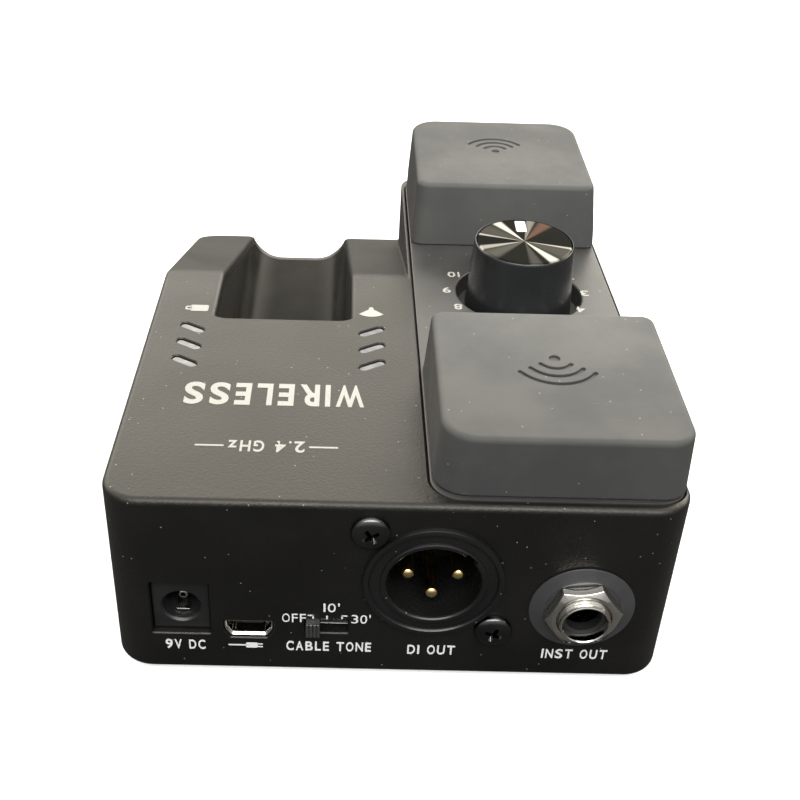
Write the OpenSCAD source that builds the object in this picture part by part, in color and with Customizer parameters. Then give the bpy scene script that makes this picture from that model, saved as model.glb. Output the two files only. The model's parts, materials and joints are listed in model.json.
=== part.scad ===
// Floor receiver of a digital guitar wireless set: a die-cast pedal housing with a charging dock for the
// plug-in transmitter, a raised antenna deck with a channel selector knob, and a rear connector panel.
// +Z is up, -Y is the connector panel, +X is the side with the antenna covers. The origin is the middle of
// the rubber base, where the pedal stands. All sizes are in millimetres.

/* [Body] */
// Width of the housing
body_w = 101; // [96:1:110]
// Length of the housing, from the connector panel to the player's end
body_l = 143.5; // [140:0.5:150]
// Height of the top edge of the connector panel
body_h = 41; // [41:0.5:44]
// Downward slope of the deck towards the player's end, degrees
deck_slope = 2.5; // [2:0.1:3]
// Distance from the connector panel to the crease where the dock side starts to slope
crease_d = 84.5; // [80:0.5:90]
// Height of the player's end wall on the dock side
facet_end_h = 16.5; // [15.5:0.5:19]
// Wall thickness of the casting
wall = 2.4; // [2:0.1:2.6]
// Corner radius of the housing in plan
corner_r = 7; // [6:0.5:9]
// Corner radius of the raised antenna side at the player's end
step_corner_r = 7; // [4:0.5:8]
// Radius of the top edges of the end walls
edge_r = 2; // [1:0.25:2.5]

/* [Base] */
// Thickness of the rubber base mat
mat_t = 1; // [0.8:0.1:1.2]
// Thickness of the steel bottom plate
plate_t = 1.6; // [1.2:0.1:2]

/* [Antenna deck] */
// Left edge of the antenna deck insert
deck_x0 = 5.7; // [5.5:0.1:6.5]
// Height of the level tops of the antenna covers above the floor
cover_top_z = 52.5; // [51:0.5:56]
// Length of the antenna cover next to the connector panel
rear_cover_l = 42.8; // [38:0.1:44]
// Length of the antenna cover at the player's end
front_cover_l = 40; // [38:0.1:42]
// Left, right, near and far draft, at its full height, of the cover next to the connector panel
rear_cover_draft = [1, 0.1, 1.3, 0.5]; // [0:0.1:2]
// Left, right, near and far draft, at its full height, of the cover at the player's end
front_cover_draft = [0.8, 1.7, 0.5, 0.5]; // [0:0.1:2]

/* [Channel knob] */
// Sideways place of the knob
knob_x = 29; // [28:0.5:30]
// Distance from the connector panel to the knob
knob_d = 77.6; // [75:0.5:79]
// Radius of the knob at its top
knob_top_r = 10.8; // [10:0.1:11.2]
// Radius of the knob at its lower edge
knob_low_r = 11.8; // [11.4:0.1:12.2]
// Height of the knob's top face above the floor
knob_top_z = 50.5; // [49:0.5:52]
// Radius of the well around the knob
well_r = 13.85; // [13.2:0.05:14]

/* [Dock] */
// Sideways centre of the dock trough
dock_x = -22.7; // [-24:0.1:-22]
// Distance from the connector panel to the dock's jack wall
dock_d = 63.5; // [62:0.5:66]
// Half width of the trough at its full width
dock_half = 13.1; // [12.8:0.1:13.3]
// Height of the trough floor above the floor the pedal stands on
dock_floor_z = 9.7; // [9.4:0.1:10]

/* [Connectors] */
// Sideways place and height of the XLR connector
xlr_at = [7, 24]; // fixed
// Bore radius of the XLR shell
xlr_bore_r = 8.2; // [8.1:0.05:8.3]
// Sideways place and height of the 6.35 mm output jack
jack_at = [33.6, 18.5]; // fixed
// Bore radius of the 6.35 mm jacks
jack_bore_r = 3.2; // [3.18:0.01:3.25]
// Sideways place and height of the power jack
dc_at = [-37.7, 16]; // fixed
// Sideways place and height of the USB socket
usb_at = [-25.6, 11.1]; // fixed
// Sideways place and height of the tone switch
tone_at = [-11.5, 12.4]; // fixed
// Travel of the three-position tone switch
tone_travel = 5; // [4:0.5:5]

/* [Hidden] */
$fn = 64;
ARC_STEPS = 8;
EPS = 0.01;
TALL = 80;

panel_y = -body_l / 2;
end_y = body_l / 2;
side_x = body_w / 2;
shell_z = mat_t;
plate_top = mat_t + plate_t;
crease_y = panel_y + crease_d;
// The raised antenna side starts here; left of it the housing follows the dock side's profile
step_x = deck_x0 - 1.1;
knob_y = panel_y + knob_d;
dock_y = panel_y + dock_d;

// Antenna deck insert and the ledge it sits on
insert_t = 1.9;
recess_depth = 2;
insert_gap = 0.2;
insert_x1 = side_x - 0.8;
insert_d0 = 2.2;
insert_d1 = body_l - 2.2;
insert_r = corner_r - 1.2;
ledge_w = 3;
ledge_t = 2.4;

// Antenna covers, distances along the deck from the connector panel
cover_x0 = deck_x0 + 0.2;
cover_x1 = insert_x1 + 0.15;
rear_cover_d0 = 2.6;
front_cover_d1 = body_l - 2.5;
cover_wall = 2;
cover_big_r = 6;
cover_small_r = 2.5;

// Knob, selector and well
cup_floor_top = 33;
cup_floor_t = 2;
cup_wall = 1.7;
knob_low_z = cup_floor_top + 1;
cap_t = 1.2;
cap_r = knob_top_r - 0.35;
hub_bore_r = 3.02;
shaft_r = 3;
bush_bore_r = 3.05;
bush_r = 3.5;
bush_top_z = 37.4;
selector_top_z = cup_floor_top - cup_floor_t;
selector_low_z = 23;
selector_r = 8.2;

// Dock trough section
trough_floor_half = 4.5;
trough_corner_r = dock_half - trough_floor_half;
trough_top_half = dock_half + 1.6;
liner_t = 1.6;
dock_wall_t = 3;
dock_corner_r = 3;
dock_jack_z = 23.5;

// Boards
board_z = 8;
board_t = 1.6;
board_top = board_z + board_t;
led_board_drop = 7;
led_board_t = 1.4;
antenna_board_lift = 3;

// Screw posts of the bottom plate
post_r = 3.6;
post_xy = [[-44.3, panel_y + 20], [44.3, panel_y + 20], [-44.3, end_y - 7.2], [44.3, end_y - 7.2]];
standoff_xy = [[-41, -20], [0, -20], [41, -20], [11, 52], [41, 52]];
led_post_xy = [[-34.5, 58], [-10.8, 58]];
clamp_xd = [[12.1, 30], [42.9, 30], [12.1, 120], [42.9, 120]];
cover_post_xd = [[14, 10], [41, 10], [14, 38], [41, 38], [14, 106.5], [41, 106.5], [14, 134], [41, 134]];

// Blank rating label in a window of the base mat
label_w = 49;
label_l = 29;
label_y = -30;

// LED windows: three on each side, slanting towards the dock
led_d = [45.2, 52, 58.7];
led_left_x = -41.3;
led_right_x = -3.9;
led_slant = 33;
led_len = 6;
led_w = 2;

xlr_flange_r = 12.4;
xlr_flange_t = 1;
xlr_shell_r = 11.3;
xlr_lip_r = 9.4;
xlr_screw_off = 11.35;
xlr_screw_r = 3.4;
xlr_base_y = panel_y + 15;
washer_r = 9.4;
washer_t = 1;
nut_af = 12;
nut_t = 2.2;

// ---------- shared shapes ----------

function deck_z(y) = body_h - (y - panel_y) * tan(deck_slope);

// Points of a quarter circle about [x, y], starting at angle a
function quarter(x, y, r, a) = [for (i = [0 : ARC_STEPS])
    [x + r * cos(a + 90 * i / ARC_STEPS), y + r * sin(a + 90 * i / ARC_STEPS)]];

// Rectangle from [x0, y0] to [x1, y1] with corner radii r: far right, far left, near left, near right
function round_rect(x0, y0, x1, y1, r) = concat(
    quarter(x1 - r[0], y1 - r[0], r[0], 0),
    quarter(x0 + r[1], y1 - r[1], r[1], 90),
    quarter(x0 + r[2], y0 + r[2], r[2], 180),
    quarter(x1 - r[3], y0 + r[3], r[3], 270));

// Side outline of the dock side: w is the inset of the end walls, t the drop of the top, z0 the foot
function dock_side(w, t, r, z0) = concat(
    [[end_y - w, z0]],
    quarter(end_y - w - r, facet_end_h - t - r, r, 0),
    [[crease_y, deck_z(crease_y) - t]],
    quarter(panel_y + w + r, deck_z(panel_y + r) - t - r, r, 90),
    [[panel_y + w, z0]]);

// Side outline of the antenna side
function deck_side(w, t, r, z0) = concat(
    [[end_y - w, z0]],
    quarter(end_y - w - r, deck_z(end_y - r) - t - r, r, 0),
    quarter(panel_y + w + r, deck_z(panel_y + r) - t - r, r, 90),
    [[panel_y + w, z0]]);

// Half-round-cornered section of the trough, grown outwards by g
function trough(g) = concat(
    [[dock_x + trough_top_half + g, deck_z(dock_y) + 3],
     [dock_x - trough_top_half - g, deck_z(dock_y) + 3]],
    quarter(dock_x - trough_floor_half, dock_floor_z + trough_corner_r, trough_corner_r + g, 180),
    quarter(dock_x + trough_floor_half, dock_floor_z + trough_corner_r, trough_corner_r + g, 270));

module along_x(x0, x1) {
    translate([x0, 0, 0])
        rotate([90, 0, 90])
            linear_extrude(height = x1 - x0)
                children();
}

module along_y(y0, y1) {
    translate([0, y1, 0])
        rotate([90, 0, 0])
            linear_extrude(height = y1 - y0)
                children();
}

// Children drawn in the deck's own plane: z = 0 is the deck surface, y runs from the connector panel
module on_deck() {
    translate([0, panel_y, body_h])
        rotate([-deck_slope, 0, 0])
            children();
}

module block(x0, x1, y0, y1, z0, z1) {
    translate([x0, y0, z0])
        cube([x1 - x0, y1 - y0, z1 - z0]);
}

// Round bar along +Y from y0 to y1 at [x, z]
module bar_y(at, r, y0, y1) {
    translate([at[0], y0, at[1]])
        rotate([-90, 0, 0])
            cylinder(r = r, h = y1 - y0);
}

// Upright round bar
module post(xy, r, z0, z1) {
    translate([xy[0], xy[1], z0])
        cylinder(r = r, h = z1 - z0);
}

module slot_plan(len, w) {
    square([len - w, w], center = true);
    for (s = [-1, 1])
        translate([s * (len - w) / 2, 0])
            circle(d = w);
}

// Solid that fills the housing's outline, or its hollow when inset
module body_fill(w, dock_drop, deck_drop, r, split, z0) {
    intersection() {
        linear_extrude(height = TALL)
            polygon(round_rect(-side_x + w, panel_y + w, side_x - w, end_y - w,
                               [for (i = [0 : 3]) corner_r - w]));
        union() {
            along_x(-side_x, split)
                polygon(dock_side(w, dock_drop, r, z0));
            intersection() {
                along_x(split, side_x)
                    polygon(deck_side(w, deck_drop, r, z0));
                linear_extrude(height = TALL)
                    polygon(round_rect(split, panel_y - 1, side_x + 1, end_y - w,
                                       [0.1, step_corner_r - w, 0.1, 0.1]));
            }
            intersection() {
                along_x(split - 0.01, split + step_corner_r)
                    polygon(dock_side(w, dock_drop, r, z0));
                block(-side_x, side_x, end_y - step_corner_r, end_y, 0, TALL);
            }
        }
    }
}

module hollow(gap) {
    body_fill(wall + gap, wall + gap, recess_depth + ledge_t + gap, 1, step_x + wall - gap, shell_z);
}

module dock_space() {
    intersection() {
        along_y(dock_y, end_y + 5)
            polygon(trough(0));
        linear_extrude(height = TALL)
            polygon(round_rect(dock_x - trough_top_half - 1, dock_y, dock_x + trough_top_half + 1, end_y + 6,
                               [1, 1, dock_corner_r + 1, dock_corner_r + 1]));
    }
}

module led_slots(x, slant, depth, top, grow) {
    on_deck()
        for (d = led_d)
            translate([x, d, top - depth])
                rotate([0, 0, slant])
                    linear_extrude(height = depth)
                        slot_plan(led_len + grow, led_w + grow);
}

module cross_slot(len, w, depth) {
    translate([0, 0, -depth / 2])
        cube([len, w, depth], center = true);
    translate([0, 0, -depth / 2])
        cube([w, len, depth], center = true);
}

// Pan-head cross-recess screw: head above z = 0, shank below
module pan_screw(head_r, head_t, shank_r, shank_l) {
    difference() {
        union() {
            cylinder(r = head_r, h = head_t * 0.55);
            translate([0, 0, head_t * 0.55])
                cylinder(r1 = head_r, r2 = head_r * 0.72, h = head_t * 0.45);
        }
        translate([0, 0, head_t + EPS])
            cross_slot(head_r * 1.15, head_r * 0.26, head_t * 0.6);
    }
    translate([0, 0, -shank_l])
        cylinder(r = shank_r, h = shank_l);
}

// ---------- housing ----------

module enclosure() {
    color([0.14, 0.135, 0.13])
        difference() {
            union() {
                difference() {
                    body_fill(0, 0, 0, edge_r, step_x, shell_z);
                    hollow(0);
                }
                intersection() {
                    for (p = post_xy)
                        post(p, post_r, plate_top + 0.05, TALL);
                    body_fill(wall / 2, wall / 2, recess_depth + ledge_t / 2, 1, step_x + 1, shell_z);
                }
                on_deck()
                    for (p = led_post_xy)
                        post(p, 2.2, -led_board_drop + led_board_t, -wall / 2);
            }
            for (p = post_xy)
                post(p, 1.5, 0, 13);
            on_deck()
                for (p = led_post_xy)
                    post(p, 0.95, -led_board_drop, -1.6);
            // Recess and opening for the antenna deck
            on_deck() {
                translate([0, 0, -recess_depth])
                    linear_extrude(height = 8)
                        polygon(round_rect(deck_x0 - insert_gap, insert_d0 - insert_gap,
                                           insert_x1 + insert_gap, insert_d1 + insert_gap,
                                           [for (i = [0 : 3]) insert_r]));
                translate([0, 0, -10])
                    linear_extrude(height = 12)
                        polygon(round_rect(deck_x0 + ledge_w, insert_d0 + ledge_w, insert_x1 - ledge_w,
                                           insert_d1 - ledge_w, [for (i = [0 : 3]) insert_r]));
            }
            dock_space();
            led_slots(led_left_x, -led_slant, 6, 2, 0);
            led_slots(led_right_x, led_slant, 6, 2, 0);
            panel_openings();
        }
}

module panel_openings() {
    y0 = panel_y - 1;
    y1 = panel_y + wall + 1;
    bar_y(xlr_at, xlr_shell_r + 0.2, y0, y1);
    for (s = [-1, 1])
        bar_y([xlr_at[0] + s * xlr_screw_off, xlr_at[1] - s * xlr_screw_off], 1.75, y0, y1);
    bar_y(jack_at, 4.7, y0, y1);
    block(dc_at[0] - 5.25, dc_at[0] + 5.25, y0, y1, dc_at[1] - 6.1, dc_at[1] + 6.1);
    block(tone_at[0] - 3.9, tone_at[0] + 3.9, y0, y1, tone_at[1] - 1.75, tone_at[1] + 1.75);
    translate([usb_at[0], y0, usb_at[1]])
        rotate([-90, 0, 0])
            linear_extrude(height = wall + 2)
                slot_plan(9.6, 4);
}

module bottom_plate() {
    color([0.12, 0.12, 0.125])
        difference() {
            translate([0, 0, mat_t])
                linear_extrude(height = plate_t)
                    polygon(round_rect(-side_x + wall + 0.15, panel_y + wall + 0.15, side_x - wall - 0.15,
                                       end_y - wall - 0.15, [for (i = [0 : 3]) corner_r - wall]));
            for (p = post_xy) {
                post(p, 1.7, 0, 10);
                translate([p[0], p[1], mat_t - EPS])
                    cylinder(r1 = 3.15, r2 = 1.7, h = 1.45);
            }
        }
}

module bottom_screws() {
    color([0.2, 0.2, 0.2])
        for (p = post_xy)
            difference() {
                union() {
                    post(p, 1.45, mat_t + 0.2, 12);
                    translate([p[0], p[1], mat_t + 0.05])
                        cylinder(r1 = 3.05, r2 = 1.65, h = 1.4);
                }
                translate([p[0], p[1], mat_t])
                    rotate([180, 0, 0])
                        cross_slot(3.4, 0.8, 2);
            }
}

module base_mat() {
    color([0.05, 0.05, 0.05])
        difference() {
            linear_extrude(height = mat_t)
                polygon(round_rect(-side_x + 3.2, panel_y + 3.2, side_x - 3.2, end_y - 3.2,
                                   [for (i = [0 : 3]) corner_r - 2]));
            for (p = post_xy)
                post(p, 4.2, -1, 5);
            block(-label_w / 2 - 0.8, label_w / 2 + 0.8,
                  label_y - label_l / 2 - 0.8, label_y + label_l / 2 + 0.8,
                  -1, 5);
        }
}

module rating_label() {
    color([0.75, 0.75, 0.74])
        block(-label_w / 2, label_w / 2, label_y - label_l / 2, label_y + label_l / 2, mat_t - 0.15, mat_t);
}

// ---------- antenna deck ----------

module antenna_deck() {
    color([0.2, 0.2, 0.205])
        difference() {
            union() {
                on_deck() {
                    translate([0, 0, -insert_t])
                        linear_extrude(height = insert_t)
                            polygon(round_rect(deck_x0, insert_d0, insert_x1, insert_d1,
                                               [for (i = [0 : 3]) insert_r - insert_gap]));
                    for (p = clamp_xd)
                        post(p, 3, -recess_depth - ledge_t - 0.05, -1);
                    for (d = [24, 120])
                        for (x = [19, 36])
                            post([x, d], 1.6, -1, antenna_board_lift);
                }
                intersection() {
                    post([knob_x, knob_y], well_r + cup_wall, cup_floor_top - cup_floor_t, TALL);
                    on_deck()
                        block(0, side_x, 0, body_l, -20, 0);
                }
            }
            post([knob_x, knob_y], well_r, cup_floor_top, TALL);
            post([knob_x, knob_y], bush_r + 0.1, 0, TALL);
            on_deck() {
                for (p = clamp_xd)
                    post(p, 1.25, -10, -0.7);
                for (p = cover_post_xd)
                    post(p, 1.5, -10, 2);
                for (d = [33, 113])
                    post([22, d], 1.4, -10, 2);
            }
        }
}

module deck_screws() {
    color([0.3, 0.3, 0.3])
        on_deck()
            for (p = clamp_xd)
                translate([p[0], p[1], -recess_depth - ledge_t - 0.1])
                    rotate([180, 0, 0])
                        pan_screw(4.5, 1.5, 1.2, 3.4);
}

// One antenna cover between the deck distances d0 and d1, with corner radii r and a draft for each side
module antenna_cover(d0, d1, r, draft) {
    y0 = panel_y + d0;
    y1 = panel_y + d1;
    top_r = 1;
    color([0.3, 0.3, 0.305])
        difference() {
            union() {
                difference() {
                    cover_fill(y0, y1, r, draft, 0, top_r);
                    cover_fill(y0, y1, r, draft, cover_wall, 0.6);
                }
                intersection() {
                    cover_fill(y0, y1, r, draft, cover_wall / 2, 0.6);
                    on_deck()
                        for (p = cover_post_xd)
                            post(p, 2.7, 0, TALL);
                }
            }
            on_deck() {
                block(-side_x, side_x + 10, -20, body_l + 20, -TALL, 0.05);
                for (p = cover_post_xd)
                    post(p, 1.2, -1, 7);
            }
        }
}

// Drafted block shape of a cover, inset by w on every side
module cover_fill(y0, y1, r, draft, w, top_r) {
    z0 = 20;
    z1 = cover_top_z - w;
    foot_z = deck_z(0);
    slopes = draft / (cover_top_z - foot_z);
    low = foot_z - z0;
    up = z1 - foot_z;
    intersection() {
        linear_extrude(height = TALL)
            polygon(round_rect(cover_x0 + w, y0 + w, cover_x1 - w, y1 - w,
                               [for (c = r) max(c - w, 0.6)]));
        along_y(y0 - 1, y1 + 1)
            polygon(concat(
                [[cover_x1 - w + slopes[1] * low, z0]],
                quarter(cover_x1 - w - slopes[1] * up - top_r, z1 - top_r, top_r, 0),
                quarter(cover_x0 + w + slopes[0] * up + top_r, z1 - top_r, top_r, 90),
                [[cover_x0 + w - slopes[0] * low, z0]]));
        along_x(0, side_x + 5)
            polygon(concat(
                [[y1 - w + slopes[3] * low, z0]],
                quarter(y1 - w - slopes[3] * up - top_r, z1 - top_r, top_r, 0),
                quarter(y0 + w + slopes[2] * up + top_r, z1 - top_r, top_r, 90),
                [[y0 + w - slopes[2] * low, z0]]));
    }
}

module rear_antenna_cover() {
    antenna_cover(rear_cover_d0, rear_cover_d0 + rear_cover_l,
                  [cover_small_r, cover_small_r, cover_big_r, insert_r - 1], rear_cover_draft);
}

module front_antenna_cover() {
    antenna_cover(front_cover_d1 - front_cover_l, front_cover_d1,
                  [cover_big_r, cover_big_r, cover_small_r, cover_small_r], front_cover_draft);
}

module cover_screws() {
    color([0.3, 0.3, 0.3])
        on_deck()
            for (p = cover_post_xd)
                translate([p[0], p[1], -insert_t - 0.05])
                    rotate([180, 0, 0])
                        pan_screw(2.2, 1.2, 1.1, 7);
}

module antenna_boards() {
    color([0.05, 0.3, 0.12])
        on_deck()
            for (d = [24, 120])
                block(17.5, 37.5, d - 11, d + 11, antenna_board_lift + 0.05, antenna_board_lift + 1.05);
}

module antenna_leads() {
    color([0.08, 0.08, 0.08])
        for (d = [33, 113]) {
            y = panel_y + d;
            post([22, y], 0.6, board_top + 1.4, deck_z(y) + antenna_board_lift - 0.4);
            post([22, y], 1.3, board_top + 0.05, board_top + 1.5);
        }
}

// ---------- channel selector ----------

module channel_knob() {
    color([0.07, 0.07, 0.075])
        difference() {
            translate([knob_x, knob_y, 0])
                rotate_extrude()
                    polygon([[0, knob_low_z], [knob_low_r - 0.5, knob_low_z], [knob_low_r, knob_low_z + 0.6],
                             [knob_top_r + 0.05, knob_top_z - 0.5], [knob_top_r - 0.15, knob_top_z - 0.1],
                             [0, knob_top_z - 0.1]]);
            post([knob_x, knob_y], 7.2, 0, bush_top_z + 0.8);
            post([knob_x, knob_y], hub_bore_r, 0, knob_top_z - 4);
            post([knob_x, knob_y], cap_r + 0.03, knob_top_z - cap_t - 0.02, TALL);
        }
}

module pointer_plan(grow) {
    translate([knob_x - 1.15 - grow, knob_y + 4.6 - grow])
        square([2.3 + 2 * grow, 5.2 + 2 * grow]);
}

module knob_cap() {
    color([0.75, 0.75, 0.76])
        difference() {
            union() {
                post([knob_x, knob_y], cap_r, knob_top_z - cap_t, knob_top_z - 0.3);
                translate([knob_x, knob_y, knob_top_z - 0.3])
                    cylinder(r1 = cap_r, r2 = cap_r - 0.5, h = 0.3);
            }
            translate([0, 0, knob_top_z - 0.5])
                linear_extrude(height = 2)
                    pointer_plan(0.03);
        }
}

module knob_pointer() {
    color([0.92, 0.92, 0.9])
        translate([0, 0, knob_top_z - 0.48])
            linear_extrude(height = 0.5)
                pointer_plan(0);
}

module selector_shaft() {
    color([0.7, 0.7, 0.68])
        post([knob_x, knob_y], shaft_r, selector_low_z + 1.2, knob_top_z - 4.2);
}

module selector_rotor() {
    color([0.6, 0.5, 0.3])
        difference() {
            post([knob_x, knob_y], 6.5, selector_low_z + 2, selector_low_z + 4);
            post([knob_x, knob_y], shaft_r + 0.02, 0, TALL);
        }
}

module selector_body() {
    color([0.1, 0.2, 0.35])
        difference() {
            post([knob_x, knob_y], selector_r, selector_low_z, selector_top_z - 0.05);
            post([knob_x, knob_y], 7, selector_low_z + 1, selector_top_z - 1.5);
            post([knob_x, knob_y], bush_r + 0.03, selector_low_z + 2, TALL);
        }
}

module selector_bush() {
    color([0.72, 0.72, 0.7])
        difference() {
            post([knob_x, knob_y], bush_r, selector_top_z - 1.5, bush_top_z);
            post([knob_x, knob_y], bush_bore_r, 0, TALL);
        }
}

module selector_washer() {
    color([0.72, 0.72, 0.7])
        difference() {
            post([knob_x, knob_y], 6, cup_floor_top + 0.02, cup_floor_top + 0.6);
            post([knob_x, knob_y], bush_r + 0.1, 0, TALL);
        }
}

module selector_nut() {
    color([0.72, 0.72, 0.7])
        difference() {
            translate([knob_x, knob_y, cup_floor_top + 0.62])
                cylinder(r = 5.7, h = 2.2, $fn = 6);
            post([knob_x, knob_y], bush_r + 0.03, 0, TALL);
        }
}

module selector_board() {
    color([0.05, 0.3, 0.12])
        block(knob_x - 12, knob_x + 14, knob_y - 12, knob_y + 12,
              selector_low_z - 1.65, selector_low_z - 0.05);
}

module selector_cable() {
    color([0.6, 0.6, 0.58])
        block(knob_x - 8, knob_x + 4, knob_y + 10, knob_y + 10.5, board_top + 0.05, selector_low_z - 1.7);
}

// ---------- transmitter dock ----------

module dock_cradle() {
    color([0.03, 0.03, 0.03])
        difference() {
            intersection() {
                along_y(dock_y - dock_wall_t, end_y - wall - 0.1)
                    polygon(trough(liner_t));
                hollow(0.1);
            }
            dock_space();
            bar_y([dock_x, dock_jack_z], 4.6, dock_y - dock_wall_t - 1, dock_y + 1);
        }
}

module dock_jack() {
    color([0.06, 0.06, 0.06])
        difference() {
            union() {
                block(dock_x - 7, dock_x + 7, dock_y - dock_wall_t - 25, dock_y - dock_wall_t - 0.05,
                      dock_jack_z - 7, dock_jack_z + 7);
                bar_y([dock_x, dock_jack_z], 4.5, dock_y - dock_wall_t - 1, dock_y - 0.1);
            }
            bar_y([dock_x, dock_jack_z], jack_bore_r, dock_y - dock_wall_t - 23.5, dock_y + 1);
        }
}

module dock_jack_contacts() {
    color([0.78, 0.76, 0.7])
        for (d = [5, 13, 21])
            block(dock_x - 1.2, dock_x + 1.2, dock_y - dock_wall_t - d - 0.3, dock_y - dock_wall_t - d + 0.3,
                  board_top + 0.05, dock_jack_z - 7.05);
}

// ---------- indicators ----------

module led_windows(x, slant) {
    color([0.92, 0.93, 0.9]) {
        led_slots(x, slant, wall + 0.2, -0.25, -0.1);
        on_deck()
            translate([x - 3.2, led_d[0] - 2.4, -wall - 1.4])
                cube([6.4, dock_d - dock_wall_t - 0.2 - led_d[0] + 2.4, 1.3]);
    }
}

module battery_led_windows() {
    led_windows(led_left_x, -led_slant);
}

module signal_led_windows() {
    led_windows(led_right_x, led_slant);
}

module led_lamps() {
    color([0.95, 0.95, 0.8])
        on_deck()
            for (x = [led_left_x, led_right_x])
                for (d = led_d)
                    block(x - 1, x + 1, d - 0.7, d + 0.7, -led_board_drop + led_board_t + 0.02,
                          -led_board_drop + led_board_t + 1);
}

module led_board() {
    color([0.05, 0.3, 0.12])
        difference() {
            on_deck()
                block(-46, 1, 41, dock_d - dock_wall_t - 0.2,
                      -led_board_drop, -led_board_drop + led_board_t - 0.02);
            on_deck()
                for (p = led_post_xy)
                    post(p, 1, -10, 0);
        }
}

module led_board_screws() {
    color([0.7, 0.7, 0.7])
        on_deck()
            for (p = led_post_xy)
                translate([p[0], p[1], -led_board_drop - 0.02])
                    rotate([180, 0, 0])
                        pan_screw(1.9, 1.1, 0.9, 4.5);
}

module led_cable() {
    color([0.6, 0.6, 0.58])
        block(-12, -4, panel_y + 43, panel_y + 43.5, board_top + 0.05,
              deck_z(panel_y + 43) - led_board_drop - 0.3);
}

// ---------- main electronics ----------

module main_board() {
    color([0.05, 0.3, 0.12])
        difference() {
            translate([0, 0, board_z])
                linear_extrude(height = board_t)
                    polygon([[-46.5, panel_y + wall + 3.6], [-43.5, panel_y + wall + 0.6],
                             [43.5, panel_y + wall + 0.6], [46.5, panel_y + wall + 3.6], [46.5, 56], [7.5, 56],
                             [7.5, -13], [-46.5, -13]]);
            for (p = post_xy)
                post(p, post_r + 0.6, 0, 20);
            for (p = standoff_xy)
                post(p, 1.5, 0, 20);
        }
}

module board_standoffs() {
    color([0.8, 0.65, 0.3])
        for (p = standoff_xy)
            difference() {
                post(p, 2.6, plate_top, board_z);
                post(p, 1.3, plate_top + 1, board_z + 1);
            }
}

module board_screws() {
    color([0.7, 0.7, 0.7])
        for (p = standoff_xy)
            translate([p[0], p[1], board_top])
                pan_screw(2.4, 1.4, 1.25, 5);
}

module rf_shield() {
    color([0.7, 0.7, 0.7])
        difference() {
            block(14, 38, -34, -8, board_top + 0.02, board_top + 3.4);
            block(14.4, 37.6, -33.6, -8.4, board_top - 1, board_top + 3);
        }
}

module chips() {
    color([0.06, 0.06, 0.06]) {
        block(16, 26, -26, -16, board_top + 0.05, board_top + 1.2);
        block(29, 36, -24, -17, board_top + 0.05, board_top + 1.2);
        block(-36, -27, -32, -23, board_top + 0.05, board_top + 1.3);
        block(-8, -3, -44, -38, board_top + 0.05, board_top + 1.3);
        block(26, 36, 30, 38, board_top + 0.05, board_top + 1.3);
    }
}

module capacitors() {
    color([0.5, 0.52, 0.55])
        for (p = [[-38, -48], [-30, -50], [-21, -50], [-33, -40], [2, -42]])
            post(p, 3.1, board_top + 0.05, board_top + 7.5);
}

// ---------- connector panel ----------

module xlr_housing() {
    base_t = 3;
    color([0.13, 0.13, 0.13])
        difference() {
            union() {
                bar_y(xlr_at, xlr_flange_r, panel_y - xlr_flange_t, panel_y);
                bar_y(xlr_at, xlr_shell_r, panel_y - EPS, xlr_base_y + base_t);
                for (s = [-1, 1])
                    bar_y([xlr_at[0] + s * xlr_screw_off, xlr_at[1] - s * xlr_screw_off], 2.3,
                          panel_y + wall + 0.05, panel_y + wall + 4);
                translate([xlr_at[0], panel_y + wall + 0.3, xlr_at[1]])
                    rotate([0, 45, 0])
                        block(-xlr_screw_off * sqrt(2), xlr_screw_off * sqrt(2), 0, 3.2, -1.9, 1.9);
            }
            bar_y(xlr_at, xlr_bore_r, panel_y - 3, xlr_base_y);
            // Groove between the lip of the mouth and the flange's rim
            difference() {
                bar_y(xlr_at, xlr_flange_r - 1.2, panel_y - 3, panel_y - 0.45);
                bar_y(xlr_at, xlr_lip_r, panel_y - 4, panel_y);
            }
            for (s = [-1, 1])
                bar_y([xlr_at[0] + s * xlr_screw_off, xlr_at[1] - s * xlr_screw_off], 1.5,
                      panel_y, panel_y + 10);
            // Keyway at the upper right of the mouth
            translate([xlr_at[0], panel_y - 3, xlr_at[1]])
                rotate([0, -45, 0])
                    block(xlr_bore_r - 1, xlr_bore_r + 0.9, 0, 13, -1.4, 1.4);
            for (p = xlr_pin_at())
                bar_y(p, 0.82, xlr_base_y - 1, xlr_base_y + 5);
        }
}

function xlr_pin_at() = [for (a = [0, 180, 270]) [xlr_at[0] + 4.5 * cos(a), xlr_at[1] + 4.5 * sin(a)]];

module xlr_pins() {
    tip_y = panel_y + 1.2;
    color([0.85, 0.66, 0.28])
        for (p = xlr_pin_at()) {
            bar_y(p, 1.2, tip_y + 0.8, xlr_base_y - 0.02);
            bar_y(p, 0.8, xlr_base_y - 0.1, xlr_base_y + 5);
            translate([p[0], tip_y, p[1]])
                rotate([-90, 0, 0])
                    cylinder(r1 = 0.6, r2 = 1.2, h = 0.8);
            block(p[0] - 0.5, p[0] + 0.5, xlr_base_y + 4, xlr_base_y + 4.9, board_top + 0.05, p[1]);
        }
}

module xlr_screws() {
    color([0.12, 0.12, 0.12])
        for (s = [-1, 1])
            translate([xlr_at[0] + s * xlr_screw_off, panel_y - 0.02, xlr_at[1] - s * xlr_screw_off])
                rotate([90, 0, 0])
                    pan_screw(xlr_screw_r, 1.7, 1.45, 6);
}

module output_jack_body() {
    color([0.06, 0.06, 0.06])
        difference() {
            block(jack_at[0] - 7, jack_at[0] + 7, panel_y + wall + 0.05, panel_y + 27,
                  jack_at[1] - 8, jack_at[1] + 8);
            bar_y(jack_at, jack_bore_r, panel_y, panel_y + 25.5);
            bar_y(jack_at, 4.52, panel_y, panel_y + 6);
        }
}

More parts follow.
